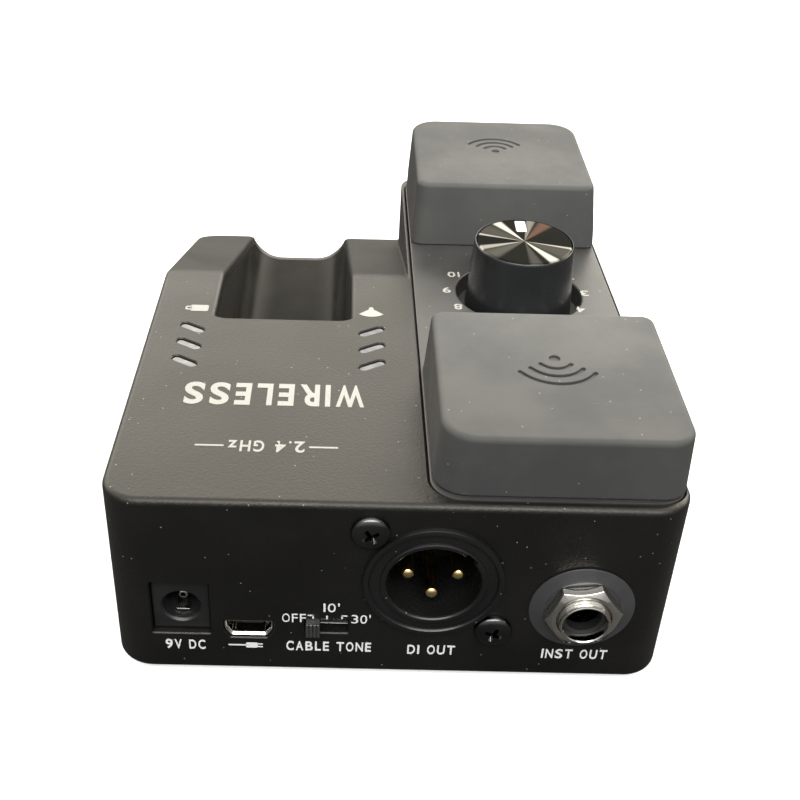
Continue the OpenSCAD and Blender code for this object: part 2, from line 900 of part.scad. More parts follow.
module output_jack_bush() {
    color([0.8, 0.79, 0.76])
        difference() {
            bar_y(jack_at, 4.5, panel_y - washer_t - nut_t - 1.3, panel_y + 5.9);
            bar_y(jack_at, jack_bore_r, panel_y - 10, panel_y + 10);
        }
}

module output_jack_washer() {
    color([0.35, 0.35, 0.36])
        difference() {
            bar_y(jack_at, washer_r, panel_y - washer_t, panel_y - 0.02);
            bar_y(jack_at, 4.6, panel_y - 5, panel_y + 5);
        }
}

module output_jack_nut() {
    color([0.8, 0.79, 0.76])
        difference() {
            translate([jack_at[0], panel_y - washer_t - 0.02, jack_at[1]])
                rotate([90, 18, 0])
                    cylinder(r = nut_af / 2 / cos(30), h = nut_t, $fn = 6);
            bar_y(jack_at, 4.53, panel_y - 10, panel_y + 5);
        }
}

module output_jack_contacts() {
    color([0.78, 0.76, 0.7])
        for (x = [-4, 4])
            for (d = [12, 24])
                block(jack_at[0] + x - 1, jack_at[0] + x + 1, panel_y + d - 0.3, panel_y + d + 0.3,
                      board_top + 0.05, jack_at[1] - 8.05);
}

module dc_jack_body() {
    face_y = panel_y + 1.8;
    color([0.05, 0.05, 0.05])
        difference() {
            block(dc_at[0] - 5.15, dc_at[0] + 5.15, face_y, face_y + 13.5, dc_at[1] - 6, dc_at[1] + 5.9);
            bar_y([dc_at[0], dc_at[1] - 0.7], 3.4, face_y - 1, face_y + 10);
            bar_y([dc_at[0], dc_at[1] - 0.7], 0.62, face_y + 9, face_y + 14);
        }
}

module dc_pin() {
    color([0.8, 0.78, 0.72]) {
        bar_y([dc_at[0], dc_at[1] - 0.7], 1, panel_y + 4.2, panel_y + 10.78);
        bar_y([dc_at[0], dc_at[1] - 0.7], 0.6, panel_y + 10.7, panel_y + 15);
    }
}

module dc_spring() {
    color([0.78, 0.76, 0.7])
        block(dc_at[0] - 1.2, dc_at[0] + 1.2, panel_y + 3.4, panel_y + 10.5, dc_at[1] - 3.7, dc_at[1] - 3.4);
}

module usb_shell() {
    color([0.78, 0.78, 0.76])
        translate([usb_at[0], panel_y + 0.4, usb_at[1]])
            rotate([-90, 0, 0])
                difference() {
                    union() {
                        linear_extrude(height = 6.4)
                            slot_plan(8.2, 2.9);
                        linear_extrude(height = 0.6)
                            slot_plan(9, 3.6);
                    }
                    translate([0, 0, -1])
                        linear_extrude(height = 6.9)
                            slot_plan(7.5, 2.2);
                }
}

module usb_tongue() {
    color([0.08, 0.08, 0.08])
        block(usb_at[0] - 2.6, usb_at[0] + 2.6, panel_y + 1.6, panel_y + 6.2,
              usb_at[1] + 0.1, usb_at[1] + 0.7);
}

module tone_switch_frame() {
    y0 = panel_y + wall + 0.05;
    color([0.7, 0.7, 0.68])
        difference() {
            block(tone_at[0] - 6.4, tone_at[0] + 6.4, y0, y0 + 5.6, board_top + 0.05, tone_at[1] + 2.8);
            block(tone_at[0] - 5.6, tone_at[0] + 5.6, y0 + 0.5, y0 + 4, tone_at[1] - 2.1, tone_at[1] + 2.1);
            block(tone_at[0] - 3.9, tone_at[0] + 3.9, y0 - 1, y0 + 1, tone_at[1] - 1.75, tone_at[1] + 1.75);
        }
}

module tone_slider() {
    x0 = tone_at[0] - tone_travel / 2;
    y0 = panel_y + wall + 0.05;
    color([0.1, 0.1, 0.1]) {
        block(x0 - 2.8, x0 + 2.8, y0 + 0.6, y0 + 2.4, tone_at[1] - 2, tone_at[1] + 2);
        difference() {
            block(x0 - 1.25, x0 + 1.25, panel_y - 1.5, y0 + 1, tone_at[1] - 1.6, tone_at[1] + 1.6);
            for (dx = [-0.65, 0, 0.65])
                block(x0 + dx - 0.12, x0 + dx + 0.12, panel_y - 2, panel_y - 1.25,
                      tone_at[1] - 2, tone_at[1] + 2);
        }
    }
}

enclosure();
bottom_plate();
bottom_screws();
base_mat();
rating_label();
antenna_deck();
deck_screws();
rear_antenna_cover();
front_antenna_cover();
cover_screws();
antenna_boards();
antenna_leads();
channel_knob();
knob_cap();
knob_pointer();
selector_shaft();
selector_rotor();
selector_body();
selector_bush();
selector_nut();
selector_washer();
selector_board();
selector_cable();
dock_cradle();
dock_jack();
dock_jack_contacts();
battery_led_windows();
signal_led_windows();
led_lamps();
led_board();
led_board_screws();
led_cable();
main_board();
board_standoffs();
board_screws();
rf_shield();
chips();
capacitors();
xlr_housing();
xlr_pins();
xlr_screws();
output_jack_body();
output_jack_bush();
output_jack_washer();
output_jack_nut();
output_jack_contacts();
dc_jack_body();
dc_pin();
dc_spring();
usb_shell();
usb_tongue();
tone_switch_frame();
tone_slider();
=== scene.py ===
"""Looks of a floor receiver pedal for a guitar wireless set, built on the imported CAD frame.

Shapes are worked out in millimetres and turned into metres when a mesh is made. +Z is up, -Y is the connector
panel, +X is the antenna side. "d" is a distance along the deck from the connector panel.
"""

import json
import math

import bmesh
import bpy
from mathutils import Matrix, Vector


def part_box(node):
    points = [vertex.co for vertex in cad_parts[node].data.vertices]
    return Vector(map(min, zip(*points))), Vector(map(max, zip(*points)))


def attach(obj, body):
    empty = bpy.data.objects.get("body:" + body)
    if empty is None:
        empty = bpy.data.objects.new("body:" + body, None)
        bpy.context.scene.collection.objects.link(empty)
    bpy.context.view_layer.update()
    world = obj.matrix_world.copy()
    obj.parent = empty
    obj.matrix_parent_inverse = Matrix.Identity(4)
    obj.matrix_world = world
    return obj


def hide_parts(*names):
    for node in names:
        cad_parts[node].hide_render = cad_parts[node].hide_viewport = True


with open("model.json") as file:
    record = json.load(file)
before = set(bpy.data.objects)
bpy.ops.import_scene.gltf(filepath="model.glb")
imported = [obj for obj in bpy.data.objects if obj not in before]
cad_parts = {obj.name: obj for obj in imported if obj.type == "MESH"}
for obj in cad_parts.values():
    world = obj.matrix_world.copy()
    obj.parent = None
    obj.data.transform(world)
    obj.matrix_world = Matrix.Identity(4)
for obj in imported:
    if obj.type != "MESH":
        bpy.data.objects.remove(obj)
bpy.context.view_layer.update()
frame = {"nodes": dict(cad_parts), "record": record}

MM = 0.001
MAIN_BODY = "receiver_body"
BODY_OF = {node: body for body, nodes in frame["record"]["behaviour"]["bodies"].items() for node in nodes}


def box_mm(node):
    lo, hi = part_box(node)
    return lo / MM, hi / MM


def middle(node):
    lo, hi = box_mm(node)
    return (lo + hi) / 2


# ---------- sizes, millimetres ----------

shell_lo, shell_hi = box_mm("enclosure")
deck_lo, deck_hi = box_mm("antenna_deck")
SIDE_X = shell_hi.x
PANEL_Y = shell_lo.y
END_Y = shell_hi.y
SHELL_Z = shell_lo.z
BODY_H = 41.0
DECK_SLOPE = math.radians(2.5)
CREASE_Y = PANEL_Y + 84.5
FACET_END_H = 16.5
FACET_END_INSET = 2.0
CORNER_R = 7.0
WALL = 2.4
STEP_X = deck_lo.x - 1.1
STEP_CORNER_R = 7.0

INSERT_GAP = 0.2
INSERT_R = CORNER_R - 1.2
INSERT_D = (2.2, END_Y - PANEL_Y - 2.2)
RECESS = 2.0
LEDGE_W = 3.0
LEDGE_T = 2.4

DOCK = middle("dock_jack")
DOCK_Y = box_mm("dock_jack")[1].y + 0.1
DOCK_FLOOR_Z = 9.7
DOCK_FLOOR_HALF = 4.5
DOCK_SIDE_R = 8.6
DOCK_TOP_HALF = 14.7
DOCK_CORNER_R = 4.0

KNOB = middle("knob_cap")
WELL_R = 13.85
CUP_FLOOR_Z = 33.0
CUP_WALL = 1.7

XLR = middle("xlr_housing")
JACK = middle("output_jack_nut")
DC = middle("dc_jack_body")
USB = middle("usb_shell")
TONE = middle("tone_switch_frame")
TONE_Z = middle("tone_slider").z


def deck_z(y):
    return BODY_H - (y - PANEL_Y) * math.tan(DECK_SLOPE)


# Planes that shapes are drawn in: (u, v) in the plane and w out of it
FLAT = Matrix.Identity(4)
DECK = Matrix.Translation((0, PANEL_Y, BODY_H)) @ Matrix.Rotation(-DECK_SLOPE, 4, "X")
PANEL = Matrix(((1, 0, 0, 0), (0, 0, -1, PANEL_Y), (0, 1, 0, 0), (0, 0, 0, 1)))
SIDE = Matrix(((0, 0, 1, 0), (1, 0, 0, 0), (0, 1, 0, 0), (0, 0, 0, 1)))
TUNNEL = Matrix(((1, 0, 0, 0), (0, 0, 1, 0), (0, 1, 0, 0), (0, 0, 0, 1)))


def at(plane, u, v, w=0.0, turn=0.0):
    return plane @ Matrix.Translation((u, v, w)) @ Matrix.Rotation(math.radians(turn), 4, "Z")


# ---------- outlines ----------


def arc(cx, cy, r, start, end, steps):
    angles = [math.radians(start + (end - start) * i / steps) for i in range(steps + 1)]
    return [(cx + r * math.cos(a), cy + r * math.sin(a)) for a in angles]


def outline(x0, y0, x1, y1, radii, steps=10):
    """Rectangle with rounded corners: far right, far left, near left, near right."""
    r = [radii] * 4 if isinstance(radii, (int, float)) else radii
    return (
        arc(x1 - r[0], y1 - r[0], r[0], 0, 90, steps)
        + arc(x0 + r[1], y1 - r[1], r[1], 90, 180, steps)
        + arc(x0 + r[2], y0 + r[2], r[2], 180, 270, steps)
        + arc(x1 - r[3], y0 + r[3], r[3], 270, 360, steps)
    )


def centred(length, width, radius, steps=8):
    """Outline function of a rounded bar about the origin, for prism()."""
    return lambda grow: outline(
        -length / 2 - grow, -width / 2 - grow, length / 2 + grow, width / 2 + grow, radius + grow, steps
    )


def disc(r, steps=64):
    return lambda grow: arc(0, 0, r + grow, 0, 360 * (steps - 1) / steps, steps - 1)


def polygon(points):
    return lambda grow: points


# ---------- meshes ----------


def loft(rings, ends="capped"):
    """Skin over rings of points. A ring of one point is a pole. ends: capped, looped or open."""
    bm = bmesh.new()
    rows = [[bm.verts.new(p) for p in ring] for ring in rings]
    pairs = list(zip(rows, rows[1:]))
    if ends == "looped":
        pairs.append((rows[-1], rows[0]))
    for a, b in pairs:
        for i in range(max(len(a), len(b))):
            corners = [a[i % len(a)], a[(i + 1) % len(a)], b[(i + 1) % len(b)], b[i % len(b)]]
            bm.faces.new(list(dict.fromkeys(corners)))
    if ends == "capped":
        for row in (rows[0], rows[-1]):
            if len(row) > 2:
                bm.faces.new(row)
    bmesh.ops.recalc_face_normals(bm, faces=bm.faces)
    return bm


def prism(shape, levels, plane=FLAT):
    """Solid through shape(grow) at each (w, grow) level of a plane."""
    return loft([[plane @ Vector((u, v, w)) for u, v in shape(grow)] for w, grow in levels])


def turned(profile, plane=FLAT, steps=96, ends="capped"):
    """Solid turned about a plane's w axis from (radius, w) points."""
    rings = []
    for r, w in profile:
        count = 1 if r < 1e-6 else steps
        angles = [2 * math.pi * i / steps for i in range(count)]
        rings.append([plane @ Vector((r * math.cos(a), r * math.sin(a), w)) for a in angles])
    return loft(rings, ends)


def link_object(name, data):
    obj = bpy.data.objects.new(name, data)
    bpy.context.scene.collection.objects.link(obj)
    return obj


def put_mesh(mesh, bm):
    bm.to_mesh(mesh)
    bm.free()
    return mesh


def add_object(name, bm):
    """Object from a mesh in millimetres, which it keeps until finished() turns them into metres."""
    return link_object(name, put_mesh(bpy.data.meshes.new(name), bm))


def copy_mesh(obj):
    bm = bmesh.new()
    bm.from_mesh(obj.data)
    return bm


def take_mesh(obj):
    """The object's mesh; the object goes."""
    bm = copy_mesh(obj)
    bpy.data.objects.remove(obj)
    return bm


def evaluated_mesh(obj):
    bpy.context.view_layer.update()
    return bpy.data.meshes.new_from_object(obj.evaluated_get(bpy.context.evaluated_depsgraph_get()))


def apply_modifiers(obj):
    mesh = evaluated_mesh(obj)
    obj.modifiers.clear()
    obj.data = mesh


def weld(bm, gap, degrees):
    """Joins split points, and flat neighbouring faces."""
    bmesh.ops.remove_doubles(bm, verts=bm.verts, dist=gap)
    bmesh.ops.dissolve_limit(bm, angle_limit=math.radians(degrees), verts=bm.verts, edges=bm.edges)


def merge(obj, degrees=0.3):
    bm = copy_mesh(obj)
    weld(bm, 0.001, degrees)
    put_mesh(obj.data, bm)


def combine(obj, cutters, operation="DIFFERENCE"):
    """Boolean of obj with each of the cutter meshes in turn."""
    for bm in cutters:
        tool = add_object("tool", bm)
        boolean = obj.modifiers.new("boolean", "BOOLEAN")
        boolean.object = tool
        boolean.operation = operation
        boolean.solver = "MANIFOLD"
        apply_modifiers(obj)
        bpy.data.objects.remove(tool)
    return obj


# Edges shorter than this are left over from rounding
SLIVER = 0.004


def add_bevel(obj, method, width, segments):
    bevel = obj.modifiers.new("round", "BEVEL")
    bevel.limit_method = method
    bevel.width = width
    bevel.segments = segments
    bevel.loop_slide = False
    return bevel


def round_edges(obj, rule, segments=4):
    """Rounds each edge by the width in millimetres that rule(middle, normal, normal) gives."""
    bm = copy_mesh(obj)
    layer = bm.edges.layers.float.new("bevel_weight_edge")
    widths = {}
    for edge in bm.edges:
        if len(edge.link_faces) != 2:
            continue
        centre = (edge.verts[0].co + edge.verts[1].co) / 2
        width = rule(centre, edge.link_faces[0].normal, edge.link_faces[1].normal)
        if width:
            widths[edge] = width
    widest = max(widths.values())
    for edge, width in widths.items():
        edge[layer] = width / widest
    put_mesh(obj.data, bm)
    bevel = add_bevel(obj, "WEIGHT", widest, segments)
    bevel.miter_outer = "MITER_SHARP"
    bevel.use_clamp_overlap = False
    apply_modifiers(obj)
    bm = copy_mesh(obj)
    bmesh.ops.remove_doubles(bm, verts=bm.verts, dist=SLIVER)
    bmesh.ops.dissolve_degenerate(bm, dist=SLIVER, edges=bm.edges)
    put_mesh(obj.data, bm)


def shade(obj, degrees=32):
    """Smooth shading that stays flat on the flat faces."""
    mesh = obj.data
    mesh.polygons.foreach_set("use_smooth", [True] * len(mesh.polygons))
    mesh.set_sharp_from_angle(angle=math.radians(degrees))
    weighted = obj.modifiers.new("normals", "WEIGHTED_NORMAL")
    weighted.keep_sharp = True
    weighted.weight = 60
    return obj


def finished(obj, surface, node=None):
    """Gives a piece its size in metres, its material and its body, and hides the CAD node it stands for."""
    obj.data.transform(Matrix.Scale(MM, 4))
    obj.data.materials.clear()
    obj.data.materials.append(surface)
    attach(obj, BODY_OF.get(node, MAIN_BODY))
    # The frame's own materials hold the slots' names, so that new ones end in a number such as .001
    if node:
        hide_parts(node)


def refined(node, width, degrees=28, segments=3):
    """A copy of a CAD node with its facets joined and its edges rounded by a width in millimetres."""
    bm = copy_mesh(frame["nodes"][node])
    bm.transform(Matrix.Scale(1 / MM, 4))
    weld(bm, 0.002, 0.4)
    points = [v.co.copy() for v in bm.verts]
    faces = [[v.index for v in f.verts] for f in bm.faces]
    bm.free()
    mesh = bpy.data.meshes.new(node + "_finished")
    mesh.from_pydata(points, [], faces)
    obj = link_object(node + "_finished", mesh)
    add_bevel(obj, "ANGLE", width, segments).angle_limit = math.radians(degrees)
    apply_modifiers(obj)
    return shade(obj)


# ---------- materials ----------


def tint(colour):
    if isinstance(colour, bpy.types.NodeSocket):
        return colour
    return (colour, colour, colour, 1) if isinstance(colour, (int, float)) else (*colour, 1)


class Nodes:
    """Wires up the shader nodes of a material or a world."""

    def __init__(self, owner):
        owner.use_nodes = True
        self.tree = owner.node_tree

    def add(self, kind, **inputs):
        """A new node; an underscore in an input's name stands for a space."""
        node = self.tree.nodes.new("ShaderNode" + kind)
        for name, value in inputs.items():
            self.link(node.inputs[name.replace("_", " ")], value)
        return node

    def link(self, socket, value):
        if isinstance(value, bpy.types.NodeSocket):
            self.tree.links.new(value, socket)
        else:
            socket.default_value = value

    def vector(self, operation, first, second=None, **inputs):
        node = self.add("VectorMath")
        node.operation = operation
        self.link(node.inputs[0], first)
        if second is not None:
            self.link(node.inputs[1], second)
        for name, value in inputs.items():
            self.link(node.inputs[name], value)
        return node.outputs["Value" if operation in ("LENGTH", "DOT_PRODUCT") else "Vector"]

    def math(self, operation, first, second=0.0):
        node = self.add("Math")
        node.operation = operation
        self.link(node.inputs[0], first)
        self.link(node.inputs[1], second)
        return node.outputs[0]

    def span(self, value, start, end, low=0.0, high=1.0):
        """Goes smoothly from low to high as the value goes from start to end."""
        node = self.add("MapRange", Value=value, From_Min=start, From_Max=end, To_Min=low, To_Max=high)
        node.interpolation_type = "SMOOTHSTEP"
        return node.outputs[0]

    def blend(self, share, first, second):
        node = self.add("Mix")
        node.data_type = "RGBA"
        self.link(node.inputs[0], share)
        self.link(node.inputs[6], tint(first))
        self.link(node.inputs[7], tint(second))
        return node.outputs[2]


class Surface(Nodes):
    """A Principled material whose patterns are drawn in millimetres."""

    def __init__(self, name, **inputs):
        self.material = bpy.data.materials.new(name)
        super().__init__(self.material)
        self.shader = self.tree.nodes["Principled BSDF"]
        self.place = self.vector("SCALE", self.add("TexCoord").outputs["Object"], Scale=1 / MM)
        self.normal = None
        for key, value in inputs.items():
            self.set(key.replace("_", " "), value)

    def set(self, name, value):
        self.link(self.shader.inputs[name], value)

    def stretched(self, x, y, z):
        return self.vector("MULTIPLY", self.place, (x, y, z))

    def noise(self, scale, detail=2.0, rough=0.5, place=None):
        place = place or self.place
        return self.add("TexNoise", Vector=place, Scale=scale, Detail=detail, Roughness=rough).outputs[0]

    def specks(self, scale, size, share):
        """1 inside specks: scale in cells a millimetre, size in cells, share of the cells that have one."""
        cells = self.add("TexVoronoi", Vector=self.place, Scale=scale)
        inside = self.span(cells.outputs["Distance"], size, size * 0.6)
        chosen = self.math("LESS_THAN", self.vector("DOT_PRODUCT", cells.outputs["Color"], (1, 0, 0)), share)
        return self.math("MULTIPLY", inside, chosen)

    def bump(self, height, depth):
        """Raises the surface by up to depth millimetres."""
        node = self.add("Bump", Strength=1.0, Distance=depth * MM, Height=height)
        if self.normal:
            self.link(node.inputs["Normal"], self.normal)
        self.normal = node.outputs[0]
        self.set("Normal", self.normal)


def moulded(
    name, colour, rough, grain=0.01, grain_scale=3.0, mottle=0.15, dust=0.0, dust_tone=0.35, **inputs
):
    """Plastic, rubber or paint: mottled tone, uneven gloss, a fine grain and a little dust."""
    s = Surface(name, **inputs)
    patches = s.noise(0.09, 3)
    fine = s.noise(grain_scale, 3, 0.6)
    darker = [c * (1 - mottle) for c in colour]
    lighter = [c * (1 + mottle) for c in colour]
    tone = s.blend(s.span(patches, 0.3, 0.7), darker, lighter)
    if dust:
        tone = s.blend(s.math("MULTIPLY", s.specks(0.8, 0.14, dust), 0.8), tone, dust_tone)
    s.set("Base Color", tone)
    gloss = s.span(patches, 0.3, 0.7, rough - 0.04, rough + 0.04)
    s.set("Roughness", s.math("ADD", s.span(fine, 0.2, 0.8, -0.05, 0.05), gloss))
    s.bump(fine, grain)
    return s.material


def metal(name, colour, rough, brushed=0.004, **inputs):
    """Plated or bare metal with fine scratches and cloudy gloss."""
    s = Surface(name, Metallic=1.0, **inputs)
    clouds = s.noise(0.4, 3)
    scratches = s.noise(2.0, 3, 0.7, s.stretched(0.3, 6, 6))
    s.set("Base Color", s.blend(s.span(clouds, 0.3, 0.7), [c * 0.86 for c in colour], colour))
    gloss = s.span(clouds, 0.3, 0.7, rough * 0.7, rough * 1.3)
    s.set("Roughness", s.math("ADD", gloss, s.span(scratches, 0.3, 0.8, 0, 0.06)))
    s.bump(scratches, brushed)
    return s.material


def housing_paint():
    """Black textured powder paint: a tight orange peel with sparkle and a little dust."""
    s = Surface("housing_paint", Specular_Tint=(1, 0.96, 0.87, 1))
    patches = s.noise(0.05, 3)
    peel = s.noise(1.7, 2, 0.5)
    grit = s.noise(4.5, 2, 0.6)
    tone = s.blend(s.span(patches, 0.3, 0.7), (0.0042, 0.0042, 0.0042), (0.0066, 0.0065, 0.0063))
    tone = s.blend(s.math("MULTIPLY", s.specks(0.55, 0.09, 0.35), 0.75), tone, (0.3, 0.28, 0.24))
    s.set("Base Color", tone)
    gloss = s.span(patches, 0.3, 0.7, 0.36, 0.43)
    s.set("Roughness", s.math("ADD", gloss, s.span(grit, 0.2, 0.8, -0.04, 0.06)))
    s.bump(peel, 0.06)
    s.bump(grit, 0.035)
    return s.material


def cover_rubber():
    """Soft-touch grey rubber with handling smudges, a few scuffs and settled dust."""
    s = Surface("cover_soft")
    smudges = s.noise(0.06, 4, 0.6)
    fine = s.noise(5, 2)
    scuffs = s.noise(0.5, 2, 0.5, s.stretched(0.5, 3.0, 1))
    tone = s.blend(s.span(smudges, 0.3, 0.72), (0.057, 0.058, 0.057), (0.074, 0.073, 0.069))
    tone = s.blend(s.span(scuffs, 0.70, 0.80, 0, 0.3), tone, (0.13, 0.125, 0.11))
    tone = s.blend(s.math("MULTIPLY", s.specks(0.5, 0.10, 0.3), 0.6), tone, (0.26, 0.25, 0.22))
    s.set("Base Color", tone)
    gloss = s.span(smudges, 0.3, 0.7, 0.60, 0.52)
    s.set("Roughness", s.math("ADD", gloss, s.span(fine, 0.2, 0.8, -0.04, 0.04)))
    s.set("Specular IOR Level", 0.15)
    s.bump(fine, 0.008)
    s.bump(smudges, 0.12)
    return s.material


def spun_cap():
    """Turned aluminium with concentric tool marks in tone and bump, and painted highlight spokes: bright
    bands painted into the base colour by direction around the knob's axis in world space, so they stay put
    when the knob turns.
    """
    s = Surface("knob_metal", Metallic=1.0)
    position = s.add("NewGeometry").outputs["Position"]
    from_axis = s.vector("SUBTRACT", s.vector("SCALE", position, Scale=1 / MM), tuple(KNOB))
    flat = s.vector("MULTIPLY", from_axis, (1, 1, 0))
    outward = s.vector("NORMALIZE", flat)
    rings = s.math("SINE", s.math("MULTIPLY", s.vector("LENGTH", flat), 2 * math.pi / 0.16))
    tone = s.blend(s.span(rings, -1, 1), (0.009, 0.0088, 0.0082), (0.014, 0.0136, 0.0125))
    # Painted highlight spokes: turn from +Y towards +X, half width in degrees, share of the painted
    # highlight's tone, shown on both sides
    painted_spokes = [(-32, 9, 1.0, True), (-73, 3.2, 0.7, True), (-109, 7, 0.55, False), (-58, 22, 0.10, True)]
    painted_spokes += [(14, 8, 0.28, False), (-128, 16, 0.12, False), (172, 10, 0.08, False)]
    for turn, half_width, share, both in painted_spokes:
        a = math.radians(turn)
        lined_up = s.vector("DOT_PRODUCT", outward, (math.sin(a), math.cos(a), 0))
        if both:
            lined_up = s.math("ABSOLUTE", lined_up)
        # Painted highlight: the base colour brightens where the disc's outward direction lines up with a
        # spoke
        lit = s.span(lined_up, math.cos(math.radians(half_width)), 1, 0, share)
        tone = s.blend(lit, tone, (0.42, 0.41, 0.37))
    # A warm painted reflection: a narrow one-sided brownish spoke at 34 degrees from +Y towards +X
    warm = s.vector("DOT_PRODUCT", outward, (math.sin(math.radians(34)), math.cos(math.radians(34)), 0))
    tone = s.blend(s.span(warm, math.cos(math.radians(13)), 1, 0, 0.8), tone, (0.09, 0.055, 0.04))
    s.set("Base Color", tone)
    s.set("Specular Tint", (0.5, 0.5, 0.5, 1))
    s.set("Roughness", 0.24)
    s.set("Anisotropic", 0.8)
    tangent = s.add("Tangent")
    tangent.direction_type = "RADIAL"
    tangent.axis = "Z"
    s.set("Tangent", tangent.outputs[0])
    s.bump(rings, 0.0012)
    return s.material


def print_ink(name, full):
    """Screen-printed off-white ink with pinholes."""
    s = Surface(name)
    pinholes = s.noise(4, 3, 0.7)
    s.set("Base Color", s.blend(s.span(pinholes, 0.3, 0.42), [c * 0.5 for c in full], full))
    s.set("Roughness", s.span(pinholes, 0.3, 0.7, 0.6, 0.42))
    s.bump(pinholes, 0.01)
    return s.material


def milky_window(name, low, high):
    """Diffusing light pipe: bright where it is thin, greyer where it fills with shade."""
    s = Surface(name)
    clouds = s.noise(0.5, 2)
    s.set("Base Color", s.blend(s.span(clouds, 0.35, 0.65), low, high))
    s.set("Roughness", s.span(clouds, 0.3, 0.7, 0.3, 0.4))
    s.set("Specular IOR Level", 0.15)
    s.bump(s.noise(1.5, 2), 0.02)
    return s.material


def board_green():
    """Solder-masked circuit board with tracks and pads."""
    s = Surface("circuit_board")
    tracks = s.add(
        "TexBrick",
        Vector=s.place,
        Scale=0.32,
        Mortar_Size=0.035,
        Color1=tint((0.012, 0.095, 0.035)),
        Color2=tint((0.010, 0.085, 0.030)),
        Mortar=tint((0.022, 0.15, 0.055)),
    )
    pads = s.specks(0.5, 0.2, 0.3)
    s.set("Base Color", s.blend(pads, tracks.outputs[0], (0.62, 0.6, 0.55)))
    s.set("Metallic", pads)
    s.set("Roughness", s.span(s.noise(1.2, 2), 0.3, 0.7, 0.26, 0.38))
    s.bump(tracks.outputs["Fac"], 0.02)
    return s.material


PAINT = housing_paint()
RUBBER = cover_rubber()
DECK_INK = print_ink("print_ink_deck", (0.29, 0.284, 0.262))
PANEL_INK = print_ink("print_ink_panel", (0.88, 0.87, 0.84))
DECK_PLASTIC = moulded("deck_plastic", (0.034, 0.0335, 0.032), 0.42, grain=0.014, grain_scale=2.6, dust=0.12)
DOCK_GLOSS = moulded("dock_gloss", (0.016, 0.0152, 0.013), 0.2, grain=0.002, grain_scale=1.2, IOR=1.08)
KNOB_BLACK = moulded("knob_black", (0.012, 0.013, 0.0135), 0.3, grain=0.003, grain_scale=6, mottle=0.1)
SPUN_WITH_PAINTED_SPOKES = spun_cap()
NICKEL = metal("nickel", (0.80, 0.77, 0.71), 0.07, brushed=0.003)
STEEL = metal("screw_steel", (0.62, 0.61, 0.59), 0.22)
GOLD = metal("gold_pins", (0.95, 0.70, 0.32), 0.15)
BRASS = metal("brass_parts", (0.80, 0.60, 0.30), 0.25)
TIN = metal("tinned_contacts", (0.70, 0.69, 0.66), 0.28)
CAN = metal("capacitor_can", (0.60, 0.62, 0.66), 0.3)
WASHER = moulded("washer_grey", (0.10, 0.10, 0.103), 0.36, grain=0.004, grain_scale=1.5, Metallic=0.55)
SCREW_BLACK = moulded("screw_black", (0.10, 0.10, 0.102), 0.17, grain=0.012, grain_scale=1.8, Metallic=1.0)
CONNECTOR = moulded(
    "connector_black", (0.008, 0.008, 0.008), 0.27, grain=0.006, grain_scale=3.5, dust=0.1, dust_tone=0.2
)
JACK_BLACK = moulded("jack_black", (0.014, 0.014, 0.014), 0.38, grain=0.006)
SLIDER = moulded("slider_plastic", (0.05, 0.05, 0.05), 0.35, grain=0.006)
CHIP = moulded("chip_black", (0.012, 0.012, 0.012), 0.5, grain=0.006, grain_scale=6)
CABLE_BLACK = moulded("cable_black", (0.010, 0.010, 0.010), 0.45, grain=0.01)
CABLE_GREY = moulded("cable_grey", (0.32, 0.32, 0.31), 0.5, grain=0.03, grain_scale=0.8)
PLATE = moulded("plate_black", (0.013, 0.013, 0.0135), 0.42, grain=0.01, grain_scale=2.2, Metallic=0.2)
MAT = moulded("base_rubber", (0.012, 0.012, 0.012), 0.75, grain=0.05, grain_scale=1.4)
LABEL = moulded("label_film", (0.55, 0.55, 0.54), 0.3, grain=0.004, grain_scale=1.0, Metallic=0.3)
POINTER = moulded("pointer_white", (0.78, 0.77, 0.72), 0.38, grain=0.006)
BATTERY_WINDOW = milky_window("window_battery", (0.18, 0.18, 0.17), (0.25, 0.248, 0.234))
SIGNAL_WINDOW = milky_window("window_signal", (0.12, 0.118, 0.126), (0.165, 0.162, 0.17))
BOARD = board_green()


# ---------- housing ----------


def dock_section(grow):
    top = deck_z(DOCK_Y) + 3
    low = DOCK_FLOOR_Z + DOCK_SIDE_R
    return (
        [(DOCK.x + DOCK_TOP_HALF + grow, top), (DOCK.x - DOCK_TOP_HALF - grow, top)]
        + arc(DOCK.x - DOCK_FLOOR_HALF, low, DOCK_SIDE_R + grow, 180, 270, 14)
        + arc(DOCK.x + DOCK_FLOOR_HALF, low, DOCK_SIDE_R + grow, 270, 360, 14)
    )


def dock_space():
    """The open trough that the transmitter lies in, as a mesh."""
    trough = add_object("trough", prism(dock_section, [(DOCK_Y - 1, 0), (END_Y + 6, 0)], TUNNEL))
    half = DOCK_TOP_HALF + 1
    corners = [1, 1, DOCK_CORNER_R, DOCK_CORNER_R]
    plan = outline(DOCK.x - half, DOCK_Y, DOCK.x + half, END_Y + 5, corners, 10)
    combine(trough, [prism(polygon(plan), [(0, 0), (80, 0)])], "INTERSECT")
    return take_mesh(trough)


def facet_z(y, drop=0.0):
    """Height of the dock side's sloping facet."""
    y_end = END_Y - FACET_END_INSET
    share = (y - CREASE_Y) / (y_end - CREASE_Y)
    return deck_z(CREASE_Y) + share * (FACET_END_H - deck_z(CREASE_Y)) - drop


def over_dock(drop):
    """Side view of the space above the dock side."""
    y0 = PANEL_Y - 10
    y1 = END_Y + 10
    crease = (CREASE_Y, deck_z(CREASE_Y) - drop)
    return [(y0, deck_z(y0) - drop), crease, (y1, facet_z(y1, drop)), (y1, 91), (y0, 91)]


